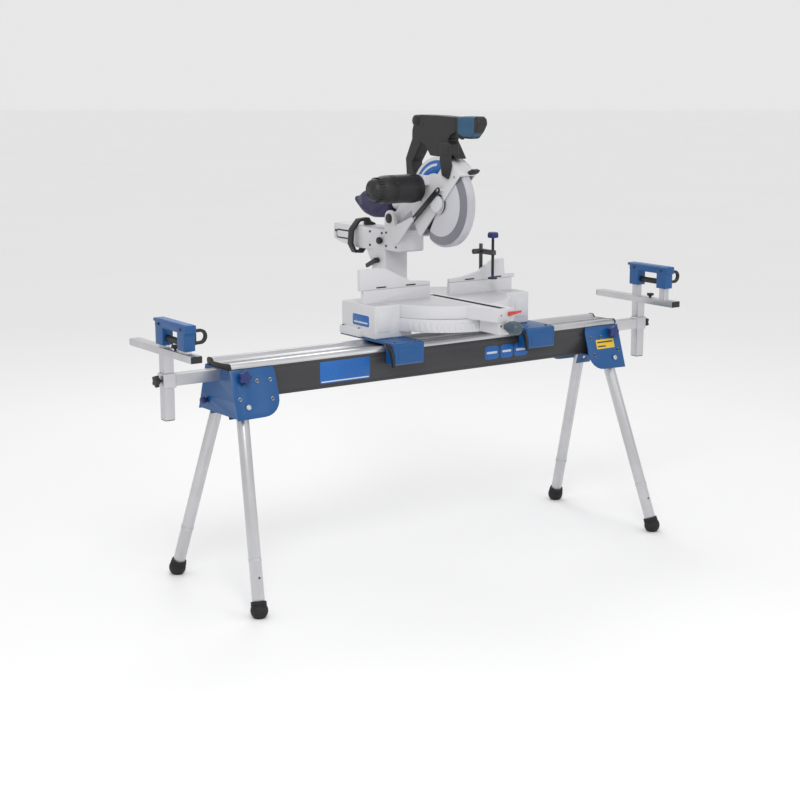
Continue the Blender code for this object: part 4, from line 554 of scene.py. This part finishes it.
def dress_mounts():
    for word in ("left", "right"):
        refined(f"saw_mount_{word}", BLUE, 0.0024, 3)
        refined(f"mount_lever_{word}", BLACK, 0.0012)
        low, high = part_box(f"saw_mount_{word}")
        for number, x in enumerate((low.x + 0.034, high.x - 0.022)):
            face = (x, low.y + 0.030, high.z - 0.022)
            bolt(f"mount_bolt_{word}_{number}", face, (0, 0, 1), 0.0052, "saw_carriage")
        panel = soft_rectangle((low.x + 0.030, low.z + 0.014), (high.x - 0.016, low.z + 0.056), 0.008)
        where = facing_y((0, low.y - 0.0004, 0))
        extruded(
            f"mount_panel_{word}", panel, where, 0.0016, BLUE, "saw_carriage", 0.0007
        )
        pin = joint_at(f"mount_lever_{word}_lift")
        bolt(f"lever_cap_{word}", pin - X * 0.0042, (-1, 0, 0), 0.0042, f"mount_lever_{word}")


# ---------------- saw base and table


def around_table(radius, degrees, z):
    """A point round the turntable, degrees from straight ahead (-Y) towards +X."""
    angle = math.radians(degrees)
    return Vector((TABLE.x + radius * math.sin(angle), TABLE.y - radius * math.cos(angle), z))


def dress_base():
    refined("saw_base", CAST, 0.0022, 3)
    teeth = []
    for step in range(-13, 14):
        degrees = step * 4.6
        centre = around_table(SKIRT_RADIUS + 0.0006, degrees, SKIRT_LOW + 0.0185)
        teeth.append(((0.0095, 0.0044, 0.0290), turned(centre, math.radians(degrees))))
    studded("skirt_teeth", teeth, CAST, "saw_carriage", 0.0009)
    marks = []
    for degrees in range(-45, 46):
        reach = 0.0090 if degrees % 5 == 0 else 0.0050
        centre = around_table(SKIRT_RADIUS + 0.0033 - reach / 2, degrees, SKIRT_HIGH + 0.0002)
        marks.append(((0.0007, reach * 0.35, 0.0005), turned(centre, math.radians(degrees))))
    studded("mitre_scale", marks, INK_AND_SHADE, "saw_carriage")
    left = TABLE.x - BASE_HALF
    low_z = TABLE.z - 0.078
    badge = soft_rectangle((TABLE.y - 0.052, low_z), (TABLE.y + 0.052, low_z + 0.040), 0.007)
    where = facing_x((left - SKIN / 2, 0, 0))
    extruded("base_badge", badge, where, SKIN, DECAL, "saw_carriage", 0.0002)
    stripe = soft_rectangle((TABLE.y - 0.044, low_z + 0.010), (TABLE.y + 0.044, low_z + 0.015), 0.002)
    above = facing_x((left - SKIN * 1.4, 0, 0))
    extruded("base_badge_line", stripe, above, SKIN / 2, PALE, "saw_carriage", bevel=0)
    for side in (-1, 1):
        dress_wing(side)


def dress_wing(side):
    """Bolts, raised front panel and machined deck of one end of the base."""
    for number, y in enumerate((TABLE.y + 0.003, TABLE.y + 0.105)):
        face = (TABLE.x + side * (BASE_HALF + 0.0065), y, BASE_FOOT)
        bolt(f"base_bolt_{side + 1}_{number}", face, (0, 0, 1), 0.0042, "saw_carriage")
    x = TABLE.x + side * 0.312
    panel = soft_rectangle((x - 0.026, SKIRT_LOW), (x + 0.026, TABLE.z - 0.022), 0.006)
    where = facing_y((0, TABLE.y - 0.0903, 0))
    extruded(f"wing_panel_{side + 1}", panel, where, 0.0018, CAST, "saw_carriage", 0.0008)
    x = TABLE.x + side * 0.308
    deck = soft_rectangle((x - 0.034, TABLE.y - 0.078), (x + 0.034, TABLE.y - 0.012), 0.006)
    where = Matrix.Translation((0, 0, TABLE.z + 0.0002))
    extruded(f"wing_deck_{side + 1}", deck, where, 0.0010, MACHINED, "saw_carriage", 0.0003)


def dress_table():
    refined("turntable", CAST, 0.0016, 3)
    where = Matrix.Translation((TABLE.x, TABLE.y, TABLE.z + 0.0004))
    for side, start in enumerate((-82, 98)):
        outline = arc((0, 0), TABLE_FACE, start, start + 164, 40)
        extruded(
            f"table_face_{side}", outline, where, 0.0008, MACHINED, "mitre_table", 0.0003
        )
    low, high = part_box("kerf_plate")
    refined("kerf_plate", BLACK, 0.0004)
    for number, share in enumerate((0.04, 0.36, 0.66, 0.96)):
        y = low.y + (high.y - low.y) * share
        for side, x in ((-1, low.x + 0.0045), (1, high.x - 0.0030)):
            name = f"kerf_screw_{number}_{side + 1}"
            socket_screw(name, (x, y, high.z - 0.0012), (0, 0, 1), 0.0018, "mitre_table", STEEL)
    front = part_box("turntable")[0].y
    pointer = [(-0.004, 0.0), (0.004, 0.0), (0.0, -0.020)]
    where = Matrix.Translation((TABLE.x, TABLE.y - 0.252, SKIRT_HIGH + 0.0030))
    extruded("mitre_pointer", pointer, where, 0.0010, RED, "mitre_table", 0.0002)
    for number, (x, z) in enumerate(((-0.020, -0.022), (-0.020, -0.060), (0.020, -0.060))):
        face = (TABLE.x + x, front + 0.0020, TABLE.z + z)
        socket_screw(f"nose_screw_{number}", face, (0, -1, 0), 0.0034, "mitre_table")
    moulded("mitre_knob", SLATE, 0.0018, 4)
    knob_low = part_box("mitre_knob")[0]
    centre = Vector((TABLE.x, 0, joint_at("mitre_knob_turn").z))
    for number in range(10):
        angle = 2 * math.pi * number / 10
        out = Vector((math.cos(angle), 0, math.sin(angle)))
        start = centre + out * 0.0226 + Y * (knob_low.y + 0.018)
        end = centre + out * 0.0218 + Y * (knob_low.y + 0.052)
        rib_along(f"knob_rib_{number}", start, end, 0.0018, SLATE, "mitre_knob")
    refined("detent_lever", RED, 0.0012, 3)


def rib_along(name, start, end, radius, material, body):
    """A half-sunk rounded rib between two points."""
    length = (end - start).length
    profile = [(0, length + radius * 0.6), (radius * 0.7, length), (radius, length - radius)]
    profile += [(radius, radius), (radius * 0.7, 0), (0, -radius * 0.6)]
    return lathe(name, profile, along(start, end - start), material, body, 10)


def dress_fences():
    for word, side in (("left", -1), ("right", 1)):
        refined(f"fence_{word}", CAST, 0.0022, 3)
        low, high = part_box(f"fence_{word}")
        for number, share in enumerate((0.30, 0.72)):
            x = low.x + (high.x - low.x) * share
            # Each slot is a dark ink sheet on the fence's front: painted shade standing for the open slot.
            outline = soft_rectangle((x - 0.022, low.z + 0.005), (x + 0.022, low.z + 0.010), 0.0024)
            where = facing_y((0, low.y - 0.0002, 0))
            extruded(f"fence_slot_shade_{word}_{number}", outline, where, 0.0008, INK_AND_SHADE, f"fence_{word}", bevel=0)
        lock = (TABLE.x + side * 0.300, high.y + 0.0005, low.z + 0.012)
        knob = [(0, 0.016), (0.009, 0.016), (0.0115, 0.012), (0.0115, 0.006)]
        knob += [(0.006, 0.004), (0.006, 0), (0, 0)]
        where = along(lock, (0, 1, 0))
        lathe(
            f"fence_lock_{word}", knob, where, BLACK, f"fence_{word}", 12, bevel=0.0008
        )


def dress_clamp():
    """Hold-down clamp: ribbed knob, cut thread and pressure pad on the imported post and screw."""
    refined("clamp_post", DARK_STEEL_AND_SHADE, 0.0010)
    refined("clamp_screw", NAVY, 0.0010)
    low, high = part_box("clamp_screw")
    centre = (low + high) / 2
    ribs = []
    for number in range(24):
        angle = 2 * math.pi * number / 24
        out = Vector((math.cos(angle), math.sin(angle), 0))
        place = turned(Vector((centre.x, centre.y, high.z - 0.0120)) + out * 0.0186, angle)
        ribs.append(((0.0026, 0.0020, 0.0130), place))
    studded("clamp_knob_ribs", ribs, NAVY, "clamp_screw", 0.0006)
    where = Matrix.Translation((centre.x, centre.y, 0))
    thread = []
    for turn in range(66):
        z = low.z + 0.014 + turn * 0.0020
        thread += [(0.0058, z + 0.0010), (0.0050, z + 0.0020)]
    thread = closed([(0.0046, thread[0][1])] + thread + [(0.0046, thread[-1][1])])
    lathe("clamp_thread", thread, where, DARK_STEEL_AND_SHADE, "clamp_screw", 16)
    pad = [(0, 0.0075), (0.0165, 0.0062), (0.0178, 0.0030), (0.0172, 0.0002), (0, 0.0002)]
    pad = [(r, low.z + h) for r, h in pad]
    lathe("clamp_pad", pad, where, BLACK, "clamp_screw", 32)


# ---------------- saw arm and head


def dress_arm():
    refined("bevel_arm", CAST, 0.0030, 3)
    refined("slide_yoke", CAST, 0.0022, 3)
    for word in ("left", "right"):
        refined(f"slide_rail_{word}", STEEL, 0.0010)
    refined("carry_handle", BLACK, 0.0030, 3)
    refined("bevel_lever", BLACK, 0.0018, 3)
    low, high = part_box("bevel_arm")
    left = joint_at("bevel_tilt").x - HOUSING_HALF
    screws = [
        (low.y + 0.02, 0.026), (low.y + 0.10, 0.026), (low.y + 0.10, -0.026), (high.y - 0.02, 0.011)
    ]
    for number, (y, z) in enumerate(screws):
        socket_screw(
            f"housing_screw_{number}", (left, y, HOUSING_Z + z), (-1, 0, 0), 0.0045, "bevel_frame"
        )
    # A dark ink sheet round the raised plate: painted shade standing for the recess round it.
    recess = soft_rectangle((low.y + 0.225, HOUSING_Z - 0.018), (low.y + 0.335, HOUSING_Z + 0.018), 0.010)
    where = facing_x((left - 0.0002, 0, 0))
    extruded("housing_recess_shade", recess, where, 0.0014, INK_AND_SHADE, "bevel_frame", 0.0004)
    inner = soft_rectangle((low.y + 0.231, HOUSING_Z - 0.012), (low.y + 0.329, HOUSING_Z + 0.012), 0.007)
    where = facing_x((left - 0.0012, 0, 0))
    extruded("housing_plate", inner, where, 0.0012, CAST, "bevel_frame", 0.0004)
    knob = [(0, 0.020), (0.010, 0.020), (0.0135, 0.016), (0.0135, 0.007)]
    knob += [(0.007, 0.004), (0.007, 0.0), (0, 0.0)]
    where = along((left, low.y + 0.022, HOUSING_Z - 0.002), (-1, 0, 0))
    lathe("rail_lock", knob, where, BLACK, "bevel_frame", 14, bevel=0.0012)
    cap = [(0, 0.010), (0.008, 0.009), (0.0105, 0.005), (0.0105, 0.0), (0, 0.0)]
    where = along(joint_at("bevel_lever_turn") - X * 0.0138, (-1, 0, 0))
    lathe("bevel_lever_cap", cap, where, BLACK, "bevel_lever", 24)
    for number in range(2):
        arrow = [(-0.004, 0.0), (0.004, 0.0), (0.0, -0.010)]
        where = facing_x((left + 0.0017, low.y + 0.030 + number * 0.030, TABLE.z + 0.025))
        extruded(
            f"bevel_pointer_{number}", arrow, where, 0.0010, RED, "bevel_frame", 0.0002
        )


def dress_yoke():
    """A cap over each end of the head's pivot, and the yoke's screws."""
    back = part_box("slide_yoke")[1].y
    cap = [(0, 0.0070), (0.0130, 0.0070), (0.0175, 0.0045), (0.0185, 0.0), (0, 0.0)]
    for side in (-1, 1):
        x = CHOP.x + side * YOKE_HALF
        where = along((x, CHOP.y, CHOP.z), (side, 0, 0))
        lathe(f"chop_cap_{side + 1}", cap, where, BLACK, "rail_slider", 36)
        for number, (inward, z) in enumerate(((0.015, -0.019), (0.080, -0.019), (0.015, 0.031))):
            face = (x, back - inward, HOUSING_Z + z)
            socket_screw(f"yoke_screw_{side + 1}_{number}", face, (side, 0, 0), 0.0042, "rail_slider")


def dress_guard():
    refined("upper_guard", CAST, 0.0020, 3)
    left = ARBOR.x - GUARD_HALF
    face = facing_x((left - SKIN / 2, ARBOR.y, ARBOR.z))
    outer = arc((0, 0), 0.1560, 12, 104, 28)
    inner = arc((0.020, 0.012), 0.0960, 100, 20, 24)
    extruded("guard_crescent", outer + inner, face, SKIN, DECAL, "saw_head", 0.0002)
    streak = arc((0, 0), 0.1440, 26, 88, 22) + arc((0, 0), 0.1350, 86, 28, 22)
    lifted = facing_x((left - SKIN * 1.3, ARBOR.y, ARBOR.z))
    extruded("guard_streak", streak, lifted, SKIN / 2, PALE, "saw_head", 0.0001)
    for number, (degrees, reach) in enumerate(((2, 0.105), (38, 0.105), (118, 0.140), (134, 0.140))):
        angle = math.radians(degrees)
        at = ARBOR + Y * reach * math.cos(angle) + Z * reach * math.sin(angle)
        for kind, side in (("screw", -1), ("screw_back", 1)):
            face = at + X * side * GUARD_HALF
            socket_screw(f"guard_{kind}_{number}", face, (side, 0, 0), 0.0042, "saw_head", STEEL)
    centre = facing_x(ARBOR)
    for number, low in enumerate((-0.0330, 0.0290)):
        bead = closed([(0.1650, low), (0.1692, low), (0.1692, low + 0.004), (0.1650, low + 0.004)])
        lathe(f"guard_bead_{number}", bead, centre, CAST, "saw_head", 48, -34, 160)
    cap = [(-0.046, 0.166), (-0.030, 0.170), (-0.006, 0.160)]
    cap += [(0.004, 0.144), (-0.010, 0.146), (-0.034, 0.154)]
    cap = [(ARBOR.y - 0.112 + a, ARBOR.z - 0.040 + b) for a, b in cap]
    where = facing_x((ARBOR.x + 0.020, 0, 0))
    extruded("guard_nose_cap", cap, where, 0.030, BLACK, "saw_head", 0.0030)
    ring = closed([(0.026, -0.0385), (0.034, -0.0385), (0.038, -0.0360), (0.026, -0.0360)])
    lathe("bearing_ring", ring, centre, STEEL, "saw_head", 40)


def dress_lower_guard():
    """A light flat disc with a grey bevelled skirt and a paler rim, swept over the guard's sector."""
    centre = facing_x(ARBOR)
    start, sweep = 130, 170
    half = 0.0288
    disc = [(0.0270, half - 0.0018), (0.0270, half), (0.1180, half)]
    disc = closed(disc + [(0.1200, half - 0.0012), (0.1180, half - 0.0022)])
    ring = [(0.1185, half - 0.0006), (0.1220, half - 0.0010), (0.1500, 0.0180)]
    ring = closed(ring + [(0.1488, 0.0160), (0.1180, half - 0.0026)])
    outside = [(0.1495, 0.0180), (0.1585, 0.0120), (0.1588, 0.0), (0.1585, -0.0120), (0.1495, -0.0180)]
    inside = [(0.1480, -0.0165), (0.1560, -0.0110), (0.1565, 0.0), (0.1560, 0.0110), (0.1480, 0.0165)]
    rim = closed(outside + inside)
    for side in (-1, 1):
        face = [(r, side * h) for r, h in disc]
        skirt = [(r, side * h) for r, h in ring]
        lathe(f"guard_disc_{side + 1}", face, centre, DISC, "lower_guard", 60, start, sweep)
        lathe(
            f"guard_skirt_{side + 1}", skirt, centre, RING, "lower_guard", 60, start, sweep
        )
        low, high = side * half, side * (half + 0.0008)
        hub = closed([(0.0262, low), (0.0262, high), (0.0350, high), (0.0360, low)])
        name = f"guard_hub_{side + 1}"
        lathe(name, hub, centre, DARK_STEEL_AND_SHADE, "lower_guard", 40, start, sweep)
    band = lathe("guard_band", rim, centre, CLEAR_RIM, "lower_guard", 60, start, sweep)
    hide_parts("lower_guard")
    refined("guard_link", BLACK, 0.0010)
    top = joint_at("guard_link_turn")
    bolt("link_bolt", top - X * 0.0580, (-1, 0, 0), 0.0062, "saw_head", STEEL, 24, 0.0040)


def dress_blade():
    """Toothed disc with gullets and a bore, and the spindle in it."""
    teeth, tip, root = 60, 0.1523, 0.1455
    profile = [
        (0.0, tip), (0.10, tip - 0.0006), (0.22, root + 0.002), (0.38, root), (0.72, root + 0.0016)
    ]
    outline = []
    for tooth in range(teeth):
        for share, reach in profile:
            angle = math.radians(360.0 * (tooth + share) / teeth)
            outline.append((reach * math.cos(angle), reach * math.sin(angle)))
    where = facing_x(ARBOR)
    inner = arc((0, 0), 0.0131, 0, 360 - 360 / len(outline), len(outline) - 1)
    shape = bmesh.new()
    levels = []
    for height in (-0.0012, 0.0012):
        points = [[where @ Vector((a, b, height)) for a, b in ring] for ring in (outline, inner)]
        levels.append([[shape.verts.new(point) for point in ring] for ring in points])
    count = len(outline)
    for first in range(count):
        second = (first + 1) % count
        for outer_ring, inner_ring in levels:
            shape.faces.new(
                (outer_ring[first], outer_ring[second], inner_ring[second], inner_ring[first])
            )
        for ring in (0, 1):
            low, high = levels[0][ring], levels[1][ring]
            shape.faces.new((low[first], low[second], high[second], high[first]))
    blade = from_shape("blade_disc", shape, STEEL, "blade_set", smooth_angle=20)
    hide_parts("saw_blade")
    refined("arbor_spindle", DARK_STEEL_AND_SHADE, 0.0006)


def dress_motor():
    """Turned can with a vented end bell, cooling fins, brush caps and screws."""
    low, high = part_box("motor")
    axis_y, axis_z = (low.y + high.y) / 2, (low.z + high.z) / 2
    length = high.x - low.x
    r = (high.y - low.y) / 2
    where = along((high.x, axis_y, axis_z), (-1, 0, 0))
    profile = [(0, length), (r * 0.34, length), (r * 0.40, length - 0.002), (r * 0.60, length - 0.002)]
    profile += [(r * 0.70, length - 0.006), (r * 0.80, length - 0.020), (r * 0.82, length - 0.036)]
    profile += [(r * 0.90, length - 0.044), (r * 0.965, length - 0.052), (r * 0.985, length - 0.064)]
    for groove in range(3):
        at = length - 0.074 - groove * 0.009
        profile += [
            (r * 0.985, at), (r * 0.955, at - 0.001), (r * 0.955, at - 0.003), (r * 0.985, at - 0.004)
        ]
    profile += [(r * 0.985, 0.052), (r, 0.048), (r, 0.016), (r * 0.97, 0.010), (r * 0.94, 0.0), (0, 0.0)]
    can = lathe("motor_can", profile, where, BLACK, "saw_head", 64)
    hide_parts("motor")
    vent, fin = (0.0034, 0.0030, 0.022), (0.0022, 0.0040, 0.024)
    rings = (("vents", 22, vent, r * 0.835, length - 0.030), ("fins", 26, fin, r * 0.994, 0.032))
    for kind, count, size, reach, height in rings:
        blocks = []
        for number in range(count):
            turn = Matrix.Rotation(2 * math.pi * number / count, 4, "Z")
            blocks.append((size, where @ turn @ Matrix.Translation((reach, 0, height))))
        studded(f"motor_{kind}", blocks, BLACK, "saw_head", 0.0008)
    for number, angle in enumerate((-0.5, 2.64)):
        out = Vector((0, math.cos(angle), math.sin(angle)))
        face = Vector((high.x - length + 0.092, axis_y, axis_z)) + out * (r * 0.94)
        cap = [(0, 0.0050), (0.0062, 0.0050), (0.0080, 0.0038), (0.0080, 0.0), (0, 0.0)]
        lathe(f"brush_cap_{number}", cap, along(face, out), BLACK, "saw_head", 24)
        # A dark ink sheet on each cap: painted shade standing for its slot.
        slot = soft_rectangle((-0.0050, -0.0008), (0.0050, 0.0008), 0.0006)
        place = along(face + out * 0.0051, out)
        extruded(f"brush_slot_shade_{number}", slot, place, 0.0004, INK_AND_SHADE, "saw_head", bevel=0)
    for number in range(4):
        angle = math.radians(45 + 90 * number)
        out = Vector((0, math.cos(angle), math.sin(angle)))
        face = Vector((low.x + 0.0017, axis_y, axis_z)) + out * (r * 0.50)
        socket_screw(f"motor_screw_{number}", face, (-1, 0, 0), 0.0032, "saw_head")


def dress_handle():
    piece = moulded("handle", BLACK, 0.0020, 7)
    low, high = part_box("handle")
    piece.data.materials.append(GRIP)
    grip_end = low.y + 0.1180
    grip_nose = low.y + 0.0240
    for face in piece.data.polygons:
        gripped = grip_nose < face.center.y < grip_end and face.center.z > high.z - 0.070
        if gripped and face.normal.z > -0.75:
            face.material_index = 1
    refined("trigger", BLACK, 0.0020, 3)
    for number in range(7):
        y = low.y + 0.036 + number * 0.0125
        for side in (-1, 1):
            start = Vector((ARBOR.x + side * 0.0212, y + 0.005, high.z - 0.040))
            end = Vector((ARBOR.x + side * 0.0212, y, high.z - 0.014))
            rib_along(
                f"grip_rib_{number}_{side + 1}", start, end, 0.0019, GRIP, "saw_head"
            )
    for number, (back, down) in enumerate(((0.140, 0.030), (0.330, 0.040), (0.350, 0.100))):
        for side in (-1, 1):
            face = (ARBOR.x + side * 0.0232, low.y + back, high.z - down)
            socket_screw(f"handle_screw_{number}_{side + 1}", face, (side, 0, 0), 0.0036, "saw_head")
    knob = [(0, 0.0300), (0.0150, 0.0290), (0.0200, 0.0250), (0.0215, 0.0180), (0.0215, -0.0180)]
    knob += [(0.0200, -0.0250), (0.0150, -0.0290), (0, -0.0300)]
    where = along((ARBOR.x, high.y - 0.0640, high.z - 0.0235), (1, 0, 0))
    lathe("handle_rear_boss", knob, where, BLACK, "saw_head", 40)


# ---------------- dust bag


def bag_ring(share, low, high, count):
    """Points round the bag at a share of its length: an oval, swelling and then tapering to the tail."""
    swell = math.sin(math.pi * min(1.0, 0.14 + share * 0.80)) ** 0.75
    taper = max(0.0, (share - 0.72) / 0.28)
    wide = (0.020 + 0.0215 * swell) * (1 - 0.45 * taper)
    tall = (0.024 + 0.0285 * swell) * (1 - 0.70 * taper)
    sag = -0.004 * math.sin(math.pi * share)
    centre_x = (low.x + high.x) / 2
    middle_z = (low.z + high.z) / 2 + sag - 0.002 + 0.006 * (share - 0.5)
    y = low.y + 0.004 + (high.y - low.y - 0.008) * share
    points = []
    for step in range(count):
        angle = 2 * math.pi * step / count
        c, s = math.cos(angle), math.sin(angle)
        x = centre_x + wide * math.copysign(abs(c) ** 0.82, c)
        z = middle_z + tall * math.copysign(abs(s) ** 0.82, s)
        points.append((x, y, z))
    return points


def make_bag():
    """Sewn cloth bag: a tapered oval shell, filled and slackened by a short cloth simulation."""
    low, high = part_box("dust_bag")
    shape = bmesh.new()
    count, rows = 40, 34
    rings = []
    for row in range(rows + 1):
        rings.append([shape.verts.new(point) for point in bag_ring(row / rows, low, high, count)])
    for first, second in zip(rings, rings[1:]):
        for step in range(count):
            after = (step + 1) % count
            shape.faces.new((first[step], first[after], second[after], second[step]))
    shape.faces.new(rings[0])
    shape.faces.new(rings[-1])
    bmesh.ops.recalc_face_normals(shape, faces=shape.faces)
    mesh = bpy.data.meshes.new("dust_bag_cloth")
    shape.to_mesh(mesh)
    shape.free()
    bag = bpy.data.objects.new("dust_bag_cloth", mesh)
    bpy.context.scene.collection.objects.link(bag)
    mesh.materials.append(CLOTH)
    wrinkle(bag, low, high)
    simulate(bag, low, high)
    smooth = bag.modifiers.new("fine", "SUBSURF")
    smooth.levels = 1
    smooth.render_levels = 1
    settle(bag, 60)
    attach(bag, "saw_head")
    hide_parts("dust_bag")
    sew(bag, low, high)


def wrinkle(bag, low, high):
    """Soft folds gathered at the collar, which the simulation then relaxes."""
    for point in bag.data.vertices:
        share = (point.co.y - low.y) / (high.y - low.y)
        gather = math.exp(-share * 5.0)
        angle = math.atan2(point.co.z - (low.z + high.z) / 2, point.co.x - (low.x + high.x) / 2)
        fold = math.sin(angle * 9) * 0.0016 * gather
        slow = noise.noise(point.co * 28) * 0.0032 * min(1.0, share * 3) * min(1.0, (1 - share) * 4)
        out = Vector((math.cos(angle), 0, math.sin(angle)))
        point.co += out * (fold + slow)


def simulate(bag, low, high):
    """Cloth with a little pressure; the collar and the clip at the tail hold still."""
    held = bag.vertex_groups.new(name="held")
    edge = 0.012
    fixed = [p.index for p in bag.data.vertices if p.co.y < low.y + edge or p.co.y > high.y - edge]
    held.add(fixed, 1.0, "REPLACE")
    before = [p.co.copy() for p in bag.data.vertices]
    cloth = bag.modifiers.new("cloth", "CLOTH")
    settings = cloth.settings
    settings.quality = 6
    settings.mass = 0.15
    settings.use_pressure = True
    settings.uniform_pressure_force = 1.2
    settings.tension_stiffness = 12
    settings.bending_stiffness = 0.4
    settings.vertex_group_mass = "held"
    cloth.collision_settings.use_self_collision = False
    scene = bpy.context.scene
    for step in range(1, 16):
        scene.frame_set(step)
    graph = bpy.context.evaluated_depsgraph_get()
    mesh = bpy.data.meshes.new_from_object(bag.evaluated_get(graph))
    after = [p.co.copy() for p in mesh.vertices]
    bpy.data.meshes.remove(mesh)
    bag.modifiers.clear()
    scene.frame_set(1)
    reach = 0.0060
    for point, start, end in zip(bag.data.vertices, before, after):
        move = end - start
        if move.length > reach:
            move *= reach / move.length
        point.co = start + move


def sew(bag, low, high):
    """The bag's collar band, and a piped seam along both sides."""
    centre_x = (low.x + high.x) / 2
    band = [(0.0232, 0.000), (0.0250, 0.001), (0.0256, 0.008), (0.0250, 0.014)]
    band = closed(band + [(0.0225, 0.014), (0.0225, 0.0)])
    start = Vector((centre_x, low.y + 0.002, (low.z + high.z) / 2 - 0.003))
    lathe("bag_collar", band, along(start, (0, 1, 0)), BLACK, "saw_head", 40)
    points = []
    for side in (-1, 1):
        best = {}
        for point in bag.data.vertices:
            row = round((point.co.y - low.y) / 0.010)
            if row not in best or (point.co.x - centre_x) * side > (best[row].x - centre_x) * side:
                best[row] = point.co.copy()
        rows = [best[key] for key in sorted(best)]
        points.append(rows if side > 0 else rows[::-1])
    path = points[0][1:-1] + points[1][1:-1]
    curve = bpy.data.curves.new("bag_seam", "CURVE")
    curve.dimensions = "3D"
    curve.bevel_depth = 0.0013
    curve.bevel_resolution = 2
    line = curve.splines.new("POLY")
    line.points.add(len(path) - 1)
    for point, place in zip(line.points, path):
        out = 1 if place.x > centre_x else -1
        point.co = (place.x + out * 0.0004, place.y, place.z, 1.0)
    seam = bpy.data.objects.new("bag_seam", curve)
    bpy.context.scene.collection.objects.link(seam)
    curve.materials.append(CLOTH)
    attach(seam, "saw_head")


# ---------------- stage


def make_stage():
    shape = bmesh.new()
    bmesh.ops.create_grid(shape, x_segments=1, y_segments=1, size=60.0)
    mesh = bpy.data.meshes.new("floor")
    shape.to_mesh(mesh)
    shape.free()
    floor = bpy.data.objects.new("floor", mesh)
    bpy.context.scene.collection.objects.link(floor)
    made, tree, shader = new_material("floor_paint", 0.75)
    tree.links.new(
        two_tone(tree, noise_of(tree, 0.6, 2.0), (0.955, 0.955, 0.958), (0.965, 0.965, 0.967)),
        shader.inputs["Base Color"],
    )
    mesh.materials.append(made)
    floor.location.z = -0.0002


def lamp(name, location, target, size, power):
    light = bpy.data.lights.new(name, "AREA")
    light.shape = "DISK"
    light.size = size
    light.energy = power
    lit = bpy.data.objects.new(name, light)
    lit.location = location
    lit.rotation_mode = "QUATERNION"
    lit.rotation_quaternion = (Vector(target) - Vector(location)).to_track_quat("-Z", "Y")
    bpy.context.scene.collection.objects.link(lit)


def light_and_camera():
    world = bpy.data.worlds.new("studio")
    world.use_nodes = True
    world.node_tree.nodes["Background"].inputs["Color"].default_value = (1.0, 1.0, 1.0, 1.0)
    world.node_tree.nodes["Background"].inputs["Strength"].default_value = 0.80
    bpy.context.scene.world = world
    aim = (BEAM.x, BEAM.y, 0.8)
    lamp("key", (BEAM.x - 2.0, BEAM.y - 2.6, 3.6), aim, 1.6, 50)
    lamp("front", (BEAM.x + 1.6, BEAM.y - 4.0, 2.4), aim, 2.2, 12)
    lamp("back", (BEAM.x + 1.2, BEAM.y + 2.6, 3.4), aim, 1.6, 22)
    camera = bpy.data.cameras.new("camera")
    camera.lens = 73.64
    camera.sensor_width = 36.0
    camera.clip_end = 60
    seen = bpy.data.objects.new("camera", camera)
    seen.location = (BEAM.x - 3.4405, BEAM.y - 4.7368, 1.789)
    seen.rotation_euler = (math.pi / 2 - 0.2045, 0.0, -0.6123)
    bpy.context.scene.collection.objects.link(seen)
    bpy.context.scene.camera = seen
    bpy.context.scene.view_settings.view_transform = "Standard"


light_and_camera()
make_stage()
dress_beam()
dress_brackets()
dress_legs()
dress_arms()
dress_mounts()
dress_base()
dress_table()
dress_fences()
dress_clamp()
dress_arm()
dress_yoke()
dress_guard()
dress_lower_guard()
dress_blade()
dress_motor()
dress_handle()
make_bag()
